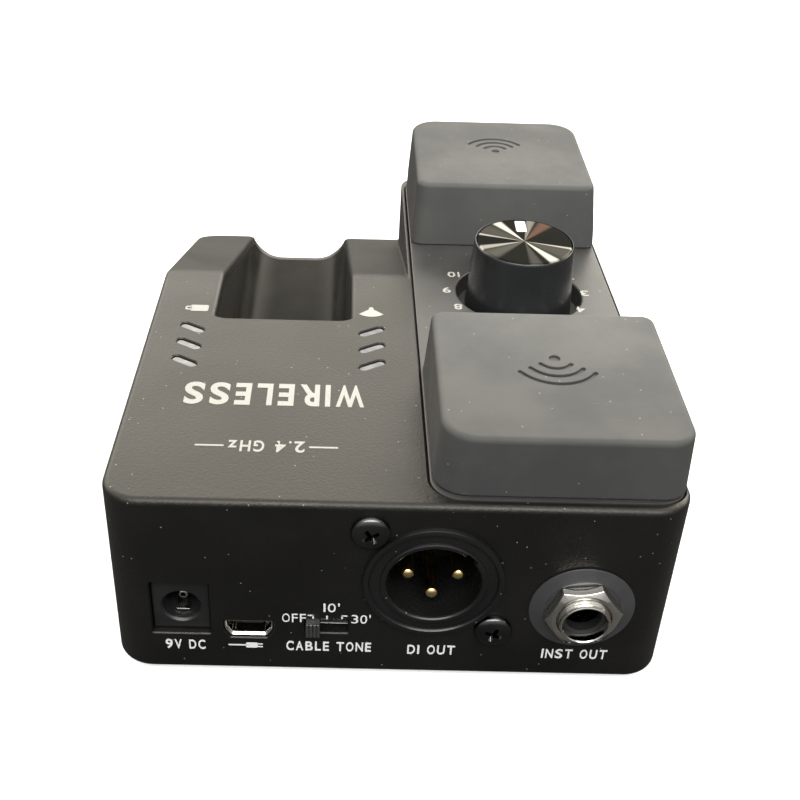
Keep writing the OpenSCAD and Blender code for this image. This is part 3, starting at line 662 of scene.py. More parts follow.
def step_corner(inset, drop, split):
    """Cutter that rounds the raised side's corner at the player's end."""
    r = STEP_CORNER_R - inset
    edge = END_Y - inset
    plan = arc(split + r, edge - r, r, 90, 180, 14)
    plan += [(split - 1, edge - r), (split - 1, edge + 3), (split + r, edge + 3)]
    corner = add_object("corner", prism(polygon(plan), [(0, 0), (70, 0)]))
    over = prism(polygon(over_dock(drop)), [(split - 2, 0), (split + r + 1, 0)], SIDE)
    combine(corner, [over], "INTERSECT")
    return take_mesh(corner)


def housing_block(inset, dock_drop, deck_drop, split, low):
    """The housing's outline as a solid, or its hollow when inset."""
    plan = outline(-SIDE_X + inset, PANEL_Y + inset, SIDE_X - inset, END_Y - inset, CORNER_R - inset, 14)
    block = add_object("housing", prism(polygon(plan), [(low, 0), (60, 0)]))
    y0 = PANEL_Y - 10
    y1 = END_Y + 10
    over_deck = [(y0, deck_z(y0) - deck_drop), (y1, deck_z(y1) - deck_drop), (y1, 90), (y0, 90)]
    cutters = [
        prism(polygon(over_deck), [(split - 0.01 if deck_drop else -70, 0), (70, 0)], SIDE),
        prism(polygon(over_dock(dock_drop)), [(-71, 0), (split, 0)], SIDE),
    ]
    return combine(block, cutters)


def outer_edge(p):
    """True at the housing's outer walls."""
    dx = abs(p.x) - (SIDE_X - CORNER_R)
    dy = abs(p.y) - (END_Y - CORNER_R)
    if dx > 0 and dy > 0:
        return math.hypot(dx, dy) > CORNER_R - 0.15
    return max(dx, dy) > CORNER_R - 0.15


def housing_rounding(p, a, b):
    top, side = (a, b) if a.z > b.z else (b, a)
    bend = math.degrees(a.angle(b, 0))
    if bend < 8:
        return 0
    if top.z > 0.85 and side.z > 0.85:
        return 2.2
    if outer_edge(p):
        if top.z > 0.85:
            return 1.3
        if side.z < -0.85:
            return 0.7
        if bend > 30:
            return 0.9 if abs(p.x - STEP_X) > 0.5 else 0.5
        return 0
    if side.z < -0.85:
        return 0
    if abs(p.x - STEP_X) < 0.3:
        return 0.45
    if top.z > 0.85:
        return 1.1
    return 0


def enclosure():
    shell = housing_block(0, 0, 0, STEP_X, SHELL_Z)
    combine(shell, [dock_space()])
    merge(shell)
    round_edges(shell, housing_rounding, segments=5)
    hollow = housing_block(WALL, WALL, RECESS + LEDGE_T, STEP_X + WALL, SHELL_Z - 5)
    combine(hollow, [step_corner(WALL, WALL, STEP_X + WALL)])
    cutters = [step_corner(0, 0, STEP_X), take_mesh(hollow)]

    def insert(grow):
        g = INSERT_GAP + grow
        return outline(deck_lo.x - g, INSERT_D[0] - g, deck_hi.x + g, INSERT_D[1] + g, INSERT_R + grow, 14)

    cutters.append(prism(insert, [(-RECESS, 0), (-0.28, 0), (0.06, 0.34), (8, 0.34)], DECK))
    cutters.append(prism(insert, [(-9, -LEDGE_W), (-1, -LEDGE_W)], DECK))
    cutters += [slot_cutter(place) for place in window_places()]
    cutters += panel_openings()
    combine(shell, cutters)
    combine(shell, [dock_space()])
    shell.name = "enclosure_finished"
    shade(shell, 34)
    finished(shell, PAINT, "enclosure")


WINDOW_D = (45.2, 52.0, 58.7)
WINDOW_SLANT = 33
WINDOW_SIZE = (6.0, 2.0)


def window_places():
    left = middle("battery_led_windows").x
    right = middle("signal_led_windows").x
    return [at(DECK, left, d, 0, -WINDOW_SLANT) for d in WINDOW_D] + [
        at(DECK, right, d, 0, WINDOW_SLANT) for d in WINDOW_D
    ]


def slot_cutter(place):
    levels = [(-6, 0), (-0.22, 0), (0.05, 0.27), (2, 0.27)]
    return prism(centred(*WINDOW_SIZE, WINDOW_SIZE[1] / 2), levels, place)


def usb_outline(grow):
    """Micro socket: a flat roof and a narrower floor."""
    half, roof, floor, side_z, low = 3.75, 1.35, -1.3, -0.1, 2.85
    g = grow
    corners = [(half + g, roof + g), (-half - g, roof + g), (-half - g, side_z), (-low - g * 0.7, floor - g)]
    corners += [(low + g * 0.7, floor - g), (half + g, side_z)]
    points = []
    for i, corner in enumerate(corners):
        before = Vector(corners[i - 1])
        here = Vector(corner)
        after = Vector(corners[(i + 1) % len(corners)])
        for step in range(4):
            t = step / 3
            p = (here + (before - here).normalized() * 0.35).lerp(here, t)
            q = here.lerp(here + (after - here).normalized() * 0.35, t)
            points.append(tuple(p.lerp(q, t)))
    return points


XLR_SCREW_HEAD_R = 3.4


def xlr_screw_places(proud=0.0, turns=(0, 0)):
    """The upper left and the lower right screw of the XLR ring, on the panel."""
    lo, hi = box_mm("xlr_screws")
    off = (hi.x - lo.x) / 2 - XLR_SCREW_HEAD_R
    centre = (lo + hi) / 2
    return [
        at(PANEL, centre.x + sign * off, centre.z - sign * off, proud, turn)
        for sign, turn in zip((-1, 1), turns)
    ]


def panel_openings():
    through = [(-WALL - 1, 0), (-0.2, 0), (0.06, 0.26), (1, 0.26)]
    square_edge = [(-WALL - 1, 0), (1, 0)]
    return [
        prism(disc(11.5), square_edge, at(PANEL, XLR.x, XLR.z)),
        *[prism(disc(1.75, 24), square_edge, place) for place in reversed(xlr_screw_places())],
        prism(disc(4.7), square_edge, at(PANEL, JACK.x, JACK.z)),
        prism(centred(10.6, 12.3, 0.3, 3), through, at(PANEL, DC.x, DC.z)),
        prism(centred(7.8, 3.5, 0.3, 3), through, at(PANEL, TONE.x, TONE_Z)),
        prism(lambda grow: usb_outline(0.75 + grow), through, at(PANEL, USB.x, USB.z)),
    ]


# ---------- antenna deck and covers ----------


def antenna_deck():
    near, far = INSERT_D

    def plan(grow):
        r = INSERT_R - 0.2 + grow
        return outline(deck_lo.x - grow, near - grow, deck_hi.x + grow, far + grow, r, 14)

    levels = [(-1.9, 0), (-0.3, 0), (-0.08, -0.08), (0, -0.3)]
    plate = add_object("antenna_deck_finished", prism(plan, levels, DECK))
    axis = at(FLAT, KNOB.x, KNOB.y)
    cup = prism(disc(WELL_R + CUP_WALL, 96), [(CUP_FLOOR_Z - 2, 0), (deck_z(KNOB.y) - 1.2, 0)], axis)
    combine(plate, [cup], "UNION")
    well = prism(disc(WELL_R, 96), [(CUP_FLOOR_Z, 0), (60, 0)], axis)
    combine(plate, [well, prism(disc(3.6, 48), [(20, 0), (45, 0)], axis)])
    merge(plate, 0.1)

    def rim(p, a, b):
        on_rim = abs(math.hypot(p.x - KNOB.x, p.y - KNOB.y) - WELL_R) < 0.2
        level = abs(p.z - deck_z(p.y)) < 0.1
        return 0.45 if on_rim and level and max(a.z, b.z) > 0.9 and min(a.z, b.z) < 0.5 else 0

    round_edges(plate, rim, 3)
    shade(plate)
    finished(plate, DECK_PLASTIC, "antenna_deck")


COVER_WALL = 2.0
COVER_CROWN = 0.15


def signal_mark(direction, size):
    """Outline functions of a sunk wireless mark: a dot and three arcs."""
    shapes = [disc(1.05 * size, 24)]
    half_width = 0.43
    half_angle = 56
    start = 90 * direction - half_angle
    end = 90 * direction + half_angle

    def cap(r, angle, first):
        a = math.radians(angle)
        return arc(r * math.cos(a), r * math.sin(a), half_width, first, first + 180, 6)[1:-1]

    for r in (3.4 * size, 5.9 * size, 8.4 * size):
        outer = arc(0, 0, r + half_width, start, end, 24)
        inner = arc(0, 0, r - half_width, end, start, 24)
        shapes.append(polygon(outer + cap(r, end, end) + inner + cap(r, start, start - 180)))
    return shapes


def antenna_cover(node, radii, drafts, mark_at, mark_direction, mark_size):
    """Hollow cover; drafts lean the left, right, near and far walls inwards."""
    lo, hi = box_mm(node)
    top = hi.z - COVER_CROWN
    foot = deck_z(0)
    fillet = 1.05
    straight = (top - fillet - foot) / (top - foot)

    def ring(z, inset, share, from_deck=False):
        left, right, near, far = [draft * share + inset for draft in drafts]
        corners = [max(r + 0.4 * share - inset, 0.7) for r in radii]
        shape = outline(lo.x + left, lo.y + near, hi.x - right, hi.y - far, corners, 12)
        return [Vector((x, y, z if not from_deck else deck_z(y) + z)) for x, y in shape]

    rings = [ring(0.35, 0, 0.03, True)]
    rings.append(ring(foot + 3, 0, 3 / (top - foot)))
    steps = 7
    for i in range(steps + 1):
        a = math.pi / 2 * i / steps
        z = top - fillet + fillet * math.sin(a)
        rings.append(ring(z, fillet * (1 - math.cos(a)), straight + (1 - straight) * math.sin(a)))
    for inset, rise in ((3.6, 0.35), (6.0, 0.75), (8.5, 1.0)):
        rings.append(ring(top + COVER_CROWN * rise, inset, 1))
    inner = [ring(top - COVER_WALL, COVER_WALL, 0.9), ring(foot + 3, COVER_WALL, 0.2)]
    inner.append(ring(0.05, COVER_WALL, 0, True))
    under = [ring(0.05, 0.3, 0.0, True)]
    cover = add_object(node + "_finished", loft(inner + under + rings))
    mark_place = at(FLAT, *mark_at, hi.z)
    shapes = signal_mark(mark_direction, mark_size)
    combine(cover, [prism(shape, [(-0.5, 0), (1, 0)], mark_place) for shape in shapes])
    merge(cover, 0.05)

    def mark_rounding(p, a, b):
        inside = math.hypot(p.x - mark_at[0], p.y - mark_at[1]) < 10
        return 0.14 if inside and p.z > hi.z - 0.05 and a.angle(b, 0) > 1 else 0

    round_edges(cover, mark_rounding, 2)
    shade(cover, 40)
    finished(cover, RUBBER, node)


# ---------- knob ----------


def channel_knob():
    lo, hi = box_mm("channel_knob")
    axis = at(FLAT, KNOB.x, KNOB.y)
    low_r = (hi.x - lo.x) / 2
    cap_lo, cap_hi = box_mm("knob_cap")
    cap_r = (cap_hi.x - cap_lo.x) / 2
    seat = cap_lo.z - 0.02
    profile = [(0, hi.z - 3.9), (3.03, hi.z - 3.9), (3.03, lo.z + 4.2), (7.2, lo.z + 4.2), (7.2, lo.z)]
    profile += [(low_r - 0.45, lo.z), (low_r - 0.12, lo.z + 0.12), (low_r, lo.z + 0.45)]
    profile += [(low_r - 0.02, lo.z + 0.9), (cap_r + 0.36, hi.z - 0.55), (cap_r + 0.26, hi.z - 0.14)]
    profile += [(cap_r + 0.12, hi.z), (cap_r + 0.03, hi.z - 0.03), (cap_r + 0.03, seat), (0, seat)]
    knob = add_object("channel_knob_finished", turned(profile, axis, 128))
    finished(shade(knob), KNOB_BLACK, "channel_knob")

    rise = cap_hi.z
    profile = [(0, cap_lo.z), (cap_r, cap_lo.z), (cap_r, rise - 0.42), (cap_r - 0.06, rise - 0.34)]
    profile += [(cap_r - 0.42, rise - 0.04), (cap_r - 0.52, rise), (0.9, rise - 0.03), (0, rise - 0.03)]
    cap = add_object("knob_cap_finished", turned(profile, axis, 160))
    p_lo, p_hi = box_mm("knob_pointer")
    length = p_hi.y - p_lo.y
    width = p_hi.x - p_lo.x
    pointer_at = at(FLAT, (p_lo.x + p_hi.x) / 2, (p_lo.y + p_hi.y) / 2, 0)
    slot_shape = centred(width + 0.06, length + 0.06, 0.3, 4)
    slot_levels = [(p_lo.z - 0.02, 0), (rise - 0.12, 0), (rise + 0.1, 0.22)]
    combine(cap, [prism(slot_shape, slot_levels, pointer_at)])
    finished(shade(cap, 14), SPUN_WITH_PAINTED_SPOKES, "knob_cap")
    levels = [(p_lo.z, 0), (rise - 0.2, 0), (rise - 0.12, -0.1)]
    bar = prism(centred(width, length, 0.28, 4), levels, pointer_at)
    pointer = add_object("knob_pointer_finished", bar)
    finished(shade(pointer), POINTER, "knob_pointer")


# ---------- connectors ----------


# How deep the contacts' floor lies behind the panel, as a w in the panel's plane
XLR_FLOOR_W = -15.0


def xlr_socket():
    lo, hi = box_mm("xlr_housing")
    plane = at(PANEL, XLR.x, XLR.z)
    flange_r = 12.4
    proud = PANEL_Y - lo.y
    back_w = PANEL_Y - hi.y
    profile = [(0, XLR_FLOOR_W), (8.2, XLR_FLOOR_W), (8.2, proud - 0.5), (8.32, proud - 0.18)]
    profile += [(8.55, proud), (9.15, proud), (9.34, proud - 0.14), (9.42, proud - 0.5)]
    profile += [(11.15, proud - 0.55), (11.25, proud - 0.25), (11.45, proud - 0.04)]
    profile += [(flange_r - 0.4, proud), (flange_r - 0.12, proud - 0.1), (flange_r, proud - 0.4)]
    profile += [(flange_r, 0.01), (11.3, 0.01), (11.3, back_w), (0, back_w)]
    socket = add_object("xlr_housing_finished", turned(profile, plane, 128))
    keyway = prism(centred(2.0, 2.8, 0.3, 3), [(-10, 0), (proud + 1, 0)], at(plane, 5.76, 5.76, 0, 45))
    combine(socket, [keyway])
    ear = [(1.5, -WALL - 0.05), (2.3, -WALL - 0.05), (2.3, -6.4), (1.5, -6.4)]
    combine(socket, [turned(ear, place, 40, "looped") for place in xlr_screw_places()], "UNION")
    finished(shade(socket), CONNECTOR, "xlr_housing")


def pan_screw(name, place, head_r, head_t, shank_r, shank_l):
    """Screw with a domed head and a cross recess that narrows downwards."""
    profile = [(0, -shank_l), (shank_r * 0.7, -shank_l), (shank_r, -shank_l + 0.5), (shank_r, 0)]
    profile += [(head_r - 0.12, 0), (head_r, 0.12), (head_r, head_t * 0.32)]
    steps = 8
    for i in range(1, steps + 1):
        a = math.pi / 2 * i / steps
        r = head_r * math.cos(a) ** 0.72 if i < steps else 0
        profile.append((r, head_t * (0.32 + 0.68 * math.sin(a))))
    screw = add_object(name, turned(profile, place, 56))
    half = head_r * 0.52

    def arm(grow):
        return outline(-half - grow, -0.42 - grow * 0.4, half + grow, 0.42 + grow * 0.4, 0.15, 2)

    levels = [(head_t * 0.25, -half * 0.55), (head_t + 0.4, 0.15)]
    for turn in (20, 110):
        combine(screw, [prism(arm, levels, at(place, 0, 0, 0, turn))])
    return shade(screw, 30)


def join(name, objects):
    """One object from several; the parts keep their places."""
    bm = bmesh.new()
    for obj in objects:
        bm.from_mesh(obj.data)
        bpy.data.objects.remove(obj)
    return shade(add_object(name, bm), 30)


def xlr_screws():
    places = xlr_screw_places(0.02, (12, 47))
    made = [pan_screw("screw", place, XLR_SCREW_HEAD_R, 1.7, 1.45, 6) for place in places]
    finished(join("xlr_screws_finished", made), SCREW_BLACK, "xlr_screws")


def xlr_pins():
    pin_r = 1.2
    circle_r = 4.5
    base_w = XLR_FLOOR_W - 0.02
    round_w = PANEL_Y - box_mm("xlr_pins")[0].y - 0.85
    profile = [(0, base_w - 5), (0.8, base_w - 5), (0.8, base_w), (pin_r, base_w), (pin_r, round_w)]
    steps = 6
    for i in range(1, steps + 1):
        a = math.pi / 2 * i / steps
        profile.append((pin_r * math.cos(a) if i < steps else 0, round_w + 0.85 * math.sin(a)))
    made = []
    for angle in (0, 180, 270):
        a = math.radians(angle)
        place = at(PANEL, XLR.x + circle_r * math.cos(a), XLR.z + circle_r * math.sin(a))
        made.append(add_object("pin", turned(profile, place, 40)))
    finished(join("xlr_pins_finished", made), GOLD, "xlr_pins")


def output_jack():
    plane = at(PANEL, JACK.x, JACK.z)
    n_lo, n_hi = box_mm("output_jack_nut")
    nut_w = PANEL_Y - n_hi.y
    nut_top = PANEL_Y - n_lo.y
    across = 12.0
    corner_r = across / 2 / math.cos(math.pi / 6)
    angles = [math.radians(60 * i + 7) for i in range(6)]
    hexagon = [(corner_r * math.cos(a), corner_r * math.sin(a)) for a in angles]
    blank = prism(polygon(hexagon), [(nut_w, 0), (nut_top, 0)], plane)
    nut = add_object("output_jack_nut_finished", blank)
    flat_r = across / 2 - 0.35
    cone = [(0, nut_w - 1), (corner_r + 2, nut_w - 1), (corner_r + 2, nut_top - 2.05)]
    cone += [(flat_r, nut_top), (flat_r, nut_top + 1), (0, nut_top + 1)]
    combine(nut, [turned(cone, plane, 96)], "INTERSECT")
    mouth = [(0, nut_w - 1), (4.53, nut_w - 1), (4.53, nut_top - 0.4)]
    mouth += [(5.05, nut_top + 0.15), (5.05, nut_top + 1), (0, nut_top + 1)]
    combine(nut, [turned(mouth, plane, 64)])
    merge(nut, 0.3)
    round_edges(nut, lambda p, a, b: 0.13 if a.angle(b, 0) > math.radians(35) else 0, 3)
    finished(shade(nut, 30), NICKEL, "output_jack_nut")

    b_lo, b_hi = box_mm("output_jack_bush")
    front = PANEL_Y - b_lo.y
    back = PANEL_Y - b_hi.y
    profile = [(3.2, back), (4.2, back)]
    pitch = 0.55
    count = int((front - 0.5 - back) / pitch)
    for i in range(count):
        w = back + 0.2 + i * pitch
        profile += [(4.22, w), (4.5, w + pitch * 0.45), (4.5, w + pitch * 0.55)]
    profile += [(4.22, front - 0.55), (4.42, front - 0.35), (4.4, front - 0.12)]
    profile += [(4.25, front), (4.08, front), (3.95, front - 0.15), (3.95, front - 4), (3.2, front - 4)]
    bush = add_object("output_jack_bush_finished", turned(profile, plane, 72, "looped"))
    finished(shade(bush), NICKEL, "output_jack_bush")
    profile = [(3.2, front - 3.95), (3.9, front - 3.95), (3.9, front - 1.9), (3.2, front - 2.1)]
    sleeve = add_object("output_jack_sleeve", turned(profile, plane, 72, "looped"))
    finished(shade(sleeve), JACK_BLACK)

    w_lo, w_hi = box_mm("output_jack_washer")
    outer = (w_hi.x - w_lo.x) / 2
    thick = PANEL_Y - w_lo.y
    profile = [(4.6, 0.02), (outer - 0.15, 0.02), (outer, 0.14), (outer - 0.06, 0.34), (outer - 0.4, 0.46)]
    profile += [(7.3, thick - 0.1), (7.05, thick), (6.85, thick - 0.03), (6.7, thick - 0.16)]
    profile.append((4.6, thick - 0.2))
    washer = add_object("output_jack_washer_finished", turned(profile, plane, 112, "looped"))
    finished(shade(washer), WASHER, "output_jack_washer")


def usb_socket():
    lo, hi = box_mm("usb_shell")
    plane = at(PANEL, USB.x, USB.z)
    face = PANEL_Y - lo.y
    back = PANEL_Y - hi.y
    levels = [(back, 0.25), (face - 0.5, 0.25), (face - 0.12, 0.48), (face, 0.56), (face, 0.42)]
    levels += [(face - 0.35, 0.12), (face - 0.6, 0.0), (back + 0.5, 0.0)]
    socket = add_object("usb_shell_finished", prism(usb_outline, levels, plane))
    finished(shade(socket), NICKEL, "usb_shell")


def dc_socket():
    lo, hi = box_mm("dc_jack_body")
    plane = at(PANEL, DC.x, DC.z)
    face = PANEL_Y - lo.y + 0.5
    back = PANEL_Y - hi.y
    levels = [(back, 0), (face - 0.2, 0), (face, -0.2)]
    block = prism(centred(hi.x - lo.x, hi.z - lo.z, 0.25, 3), levels, plane)
    body = add_object("dc_jack_body_finished", block)
    pin = middle("dc_pin")
    hole = at(PANEL, pin.x, pin.z)
    bore = [(0, face - 9), (3.2, face - 9), (3.4, face - 0.45), (3.62, face - 0.12)]
    bore += [(3.85, face + 0.1), (3.85, 3), (0, 3)]
    combine(body, [turned(bore, hole, 72)])
    finished(shade(body), JACK_BLACK, "dc_jack_body")
    p_lo, p_hi = box_mm("dc_pin")
    tip = PANEL_Y - p_lo.y
    end = PANEL_Y - p_hi.y
    shoulder = -10.78
    profile = [(0, end), (0.59, end), (0.59, shoulder), (1.0, shoulder), (1.0, tip - 0.4)]
    profile += [(0.88, tip - 0.1), (0.72, tip), (0.5, tip), (0.42, tip - 0.4), (0.42, tip - 3), (0, tip - 3)]
    centre_pin = add_object("dc_pin_finished", turned(profile, hole, 40))
    finished(shade(centre_pin), NICKEL, "dc_pin")


def tone_slider():
    lo, hi = box_mm("tone_slider")
    centre = (lo + hi) / 2
    plane = at(PANEL, centre.x, centre.z)
    tip = PANEL_Y - lo.y
    back = PANEL_Y - hi.y
    plate = prism(centred(hi.x - lo.x, hi.z - lo.z, 0.3, 3), [(back, 0), (back + 1.8, 0)], plane)
    slider = add_object("tone_slider_finished", plate)
    handle = prism(centred(2.5, 3.2, 0.2, 3), [(back + 1.2, 0), (tip - 0.12, 0), (tip, -0.12)], plane)
    combine(slider, [handle], "UNION")
    groove = centred(0.26, 5, 0.05, 2)
    levels = [(tip - 0.3, -0.05), (tip + 0.3, 0.05)]
    combine(slider, [prism(groove, levels, at(plane, u, 0)) for u in (-0.68, 0, 0.68)])
    finished(shade(slider), SLIDER, "tone_slider")


# ---------- dock liner and light windows ----------


def dock_cradle():
    body = prism(lambda grow: dock_section(1.6), [(DOCK_Y - 3, 0), (END_Y - WALL - 0.1, 0)], TUNNEL)
    liner = add_object("dock_cradle_finished", body)
    inner = housing_block(WALL + 0.1, WALL + 0.1, RECESS + LEDGE_T + 0.1, STEP_X + WALL - 0.1, SHELL_Z - 5)
    combine(liner, [take_mesh(inner)], "INTERSECT")
    mouth = [(0, -4), (4.6, -4), (4.6, -0.5), (5.1, 0.02), (5.1, 1), (0, 1)]
    socket_axis = Matrix(((1, 0, 0, DOCK.x), (0, 0, 1, DOCK_Y), (0, -1, 0, DOCK.z), (0, 0, 0, 1)))
    combine(liner, [dock_space(), turned(mouth, socket_axis, 64)])
    finished(shade(liner, 30), DOCK_GLOSS, "dock_cradle")


def light_windows(node, places, surface):
    length, width = WINDOW_SIZE
    shape = centred(length - 0.1, width - 0.1, width / 2 - 0.05)
    levels = [(-WALL - 0.2, 0), (-0.62, 0), (-0.44, -0.16), (-0.36, -0.42)]
    made = [add_object("window", prism(shape, levels, place)) for place in places]
    lo, hi = box_mm(node)
    bar = centred(6.4, hi.y - lo.y - 0.6, 0.6)
    bar_place = at(DECK, (lo.x + hi.x) / 2, (lo.y + hi.y) / 2 - PANEL_Y)
    made.append(add_object("bar", prism(bar, [(-WALL - 1.4, 0), (-WALL - 0.1, 0)], bar_place)))
    finished(join(node + "_finished", made), surface, node)


# ---------- printed marks ----------

PRINT_T = 0.03
PRINT_W = 0.01


def stamp(shape, plane, u, v, thick=PRINT_T):
    """Ink on a plane, from an outline about its own centre."""
    return add_object("ink", prism(shape, [(0, 0), (thick, 0)], at(plane, u, v, PRINT_W)))


# Widths of letters as a share of a full one; the rest are 1
LETTER_WIDTH = {
    "W": 1.4, "z": 0.85, "L": 0.8, "E": 0.8, "F": 0.78, " ": 0.45, "I": 0.26, "1": 0.26, ".": 0.24, "'": 0.22
}
LETTER_GAP = 0.28
LETTER_EXTRUDE = 0.01


def letter_mesh(letter, heavy):
    """Flat mesh of one letter in the built-in font. A 9 is a turned 6, because the font's own hangs low."""
    curve = bpy.data.curves.new("letter", "FONT")
    curve.body = "6" if letter == "9" else letter
    curve.offset = heavy
    curve.extrude = LETTER_EXTRUDE
    curve.resolution_u = 6
    source = link_object("letter", curve)
    mesh = evaluated_mesh(source)
    bpy.data.objects.remove(source)
    if letter == "9":
        low, high = reach(mesh, 1)
        mesh.transform(Matrix.Translation((0, low + high, 0)) @ Matrix.Rotation(math.pi, 4, "Z"))
    return mesh


def reach(mesh, axis):
    values = [v.co[axis] for v in mesh.vertices]
    return min(values), max(values)


def lettering(name, text, place, cell, height, heavy=0.0, ink=PANEL_INK):
    """Condensed lettering centred on a place in a plane; cell is the width of a full letter."""
    base, cap = reach(letter_mesh("H", heavy), 1)
    tall = height / (cap - base)
    widths = [cell * LETTER_WIDTH.get(letter, 1) for letter in text]
    gap = cell * LETTER_GAP
    x = -(sum(widths) + gap * (len(text) - 1)) / 2
    bm = bmesh.new()
    for letter, width in zip(text, widths):
        if letter != " ":
            mesh = letter_mesh(letter, heavy)
            left, right = reach(mesh, 0)
            size = Matrix.Diagonal((width / (right - left), tall, PRINT_T / 2 / LETTER_EXTRUDE, 1))
            corner = Matrix.Translation((-left, -base, LETTER_EXTRUDE))
            mesh.transform(place @ Matrix.Translation((x, -height / 2, 0)) @ size @ corner)
            bm.from_mesh(mesh)
        x += width + gap
    obj = add_object(name, bm)
    finished(shade(obj, 30), ink)


def panel_prints():
    labels = [
        ("print_power", "9V DC", -37.2, 7.0, 1.3, 2.35, 0.02),
        ("print_tone", "CABLE TONE", -11.1, 7.2, 1.36, 2.35, 0.02),
        ("print_balanced", "DI OUT", 7.6, 6.9, 1.42, 2.35, 0.02),
        ("print_output", "INST OUT", 33.8, 6.6, 1.38, 2.35, 0.02),
        ("print_off", "OFF", -17.4, 14.3, 1.36, 2.05, 0.0),
        ("print_short", "10'", -10.7, 17.0, 1.42, 2.05, 0.0),
        ("print_long", "30'", -5.4, 14.3, 1.25, 2.05, 0.0),
    ]
    for name, text, x, z, cell, height, heavy in labels:
        lettering(name, text, at(PANEL, x, z, PRINT_W), cell, height, heavy)
    tick = centred(0.28, 0.9, 0.1, 2)
    dash = centred(1.1, 0.28, 0.1, 2)
    ticks = [(tick, -2.5, 3.4), (dash, -2.9, 3.75), (tick, 0.0, 3.3), (tick, 2.7, 3.4), (dash, 3.1, 3.75)]
    made = [stamp(shape, PANEL, TONE.x + u, TONE_Z - 1.1 + v) for shape, u, v in ticks]
    finished(join("print_tone_ticks", made), PANEL_INK)
    # A plain plug pictogram under the service socket
    head = centred(2.2, 1.3, 0.3, 3)
    cable = centred(3.4, 0.32, 0.15, 3)
    prong = centred(1.0, 0.28, 0.1, 2)
    parts = [(head, 0.4, 0), (cable, -2.2, 0), (prong, 1.9, 0.35), (prong, 1.9, -0.35)]
    made = [stamp(shape, PANEL, -25.5 + u, 7.1 + v) for shape, u, v in parts]
    finished(join("print_service", made), PANEL_INK)


def deck_prints():
    """Marks that face the player, who stands beyond the far end."""
    for number in range(1, 11):
        angle = math.radians(30 * number)
        x = KNOB.x - 0.6 + 15.4 * math.sin(angle)
        y = KNOB.y + 0.4 + 15.4 * math.cos(angle)
        d = (y - PANEL_Y) / math.cos(DECK_SLOPE)
        place = at(DECK, x, d, PRINT_W, 180)
        lettering(f"print_channel_{number}", str(number), place, 1.8, 2.5, 0.02, DECK_INK)
    lettering("print_name", "WIRELESS", at(DECK, -22.7, 33.4, PRINT_W, 180), 3.8, 7.6, 0.03, DECK_INK)
    band_x, band_d = -23.0, 16.3
    lettering("print_band", "2.4 GHz", at(DECK, band_x, band_d, PRINT_W, 180), 1.9, 3.4, 0.02, DECK_INK)
    rule = centred(5.2, 0.5, 0.2, 3)
    for name, off in (("print_rule_left", -10.2), ("print_rule_right", 10.2)):
        finished(join(name, [stamp(rule, DECK, band_x + off, band_d)]), DECK_INK)
    # A battery over the left windows and a fan of waves over the right ones
    left = middle("battery_led_windows").x
    right = middle("signal_led_windows").x
    battery_d = 67.0
    cell = stamp(centred(3.9, 2.7, 0.5, 4), DECK, left + 0.5, battery_d)
    nub = stamp(centred(1.4, 1.7, 0.5, 4), DECK, left - 1.8, battery_d)
    combine(nub, [prism(disc(0.38, 20), [(-1, 0), (1, 0)], at(DECK, left - 1.75, battery_d, PRINT_W))])
    finished(join("print_battery", [cell, nub]), DECK_INK)
    fan = polygon([(0, 1.9)] + arc(0, 1.9, 3.7, 225, 315, 16))
    # The dot lies over the fan's tip, so it is a little thinner
    made = [stamp(fan, DECK, right, 66.7), stamp(disc(0.5, 20), DECK, right, 68.6, PRINT_T * 0.9)]
    finished(join("print_signal", made), DECK_INK)


# ---------- other CAD nodes ----------

# Finish and width of the rounded edges
REFINED = {
    "bottom_plate": (PLATE, 0.2),
    "bottom_screws": (SCREW_BLACK, 0.1),
    "base_mat": (MAT, 0.25),
    "rating_label": (LABEL, 0.04),
    "deck_screws": (STEEL, 0.1),
    "cover_screws": (STEEL, 0.1),
    "antenna_boards": (BOARD, 0.06),
    "antenna_leads": (CABLE_BLACK, 0.1),
    "selector_shaft": (NICKEL, 0.2),
    "selector_rotor": (BRASS, 0.1),
    "selector_body": (JACK_BLACK, 0.2),
    "selector_bush": (NICKEL, 0.12),
    "selector_nut": (NICKEL, 0.15),
    "selector_washer": (NICKEL, 0.08),
    "selector_board": (BOARD, 0.06),
    "selector_cable": (CABLE_GREY, 0.08),
    "dock_jack": (JACK_BLACK, 0.25),
    "dock_jack_contacts": (TIN, 0.08),
    "led_lamps": (BATTERY_WINDOW, 0.08),
    "led_board": (BOARD, 0.06),
    "led_board_screws": (STEEL, 0.08),
    "led_cable": (CABLE_GREY, 0.08),
    "main_board": (BOARD, 0.06),
    "board_standoffs": (BRASS, 0.1),
    "board_screws": (STEEL, 0.08),
    "rf_shield": (TIN, 0.15),
    "chips": (CHIP, 0.1),
    "capacitors": (CAN, 0.4),
    "output_jack_body": (JACK_BLACK, 0.2),
    "output_jack_contacts": (TIN, 0.08),
    "dc_spring": (TIN, 0.06),
    "usb_tongue": (JACK_BLACK, 0.06),
    "tone_switch_frame": (TIN, 0.1),
}


def other_nodes():
    for node, (surface, width) in REFINED.items():
        finished(refined(node, width), surface, node)


# ---------- studio ----------


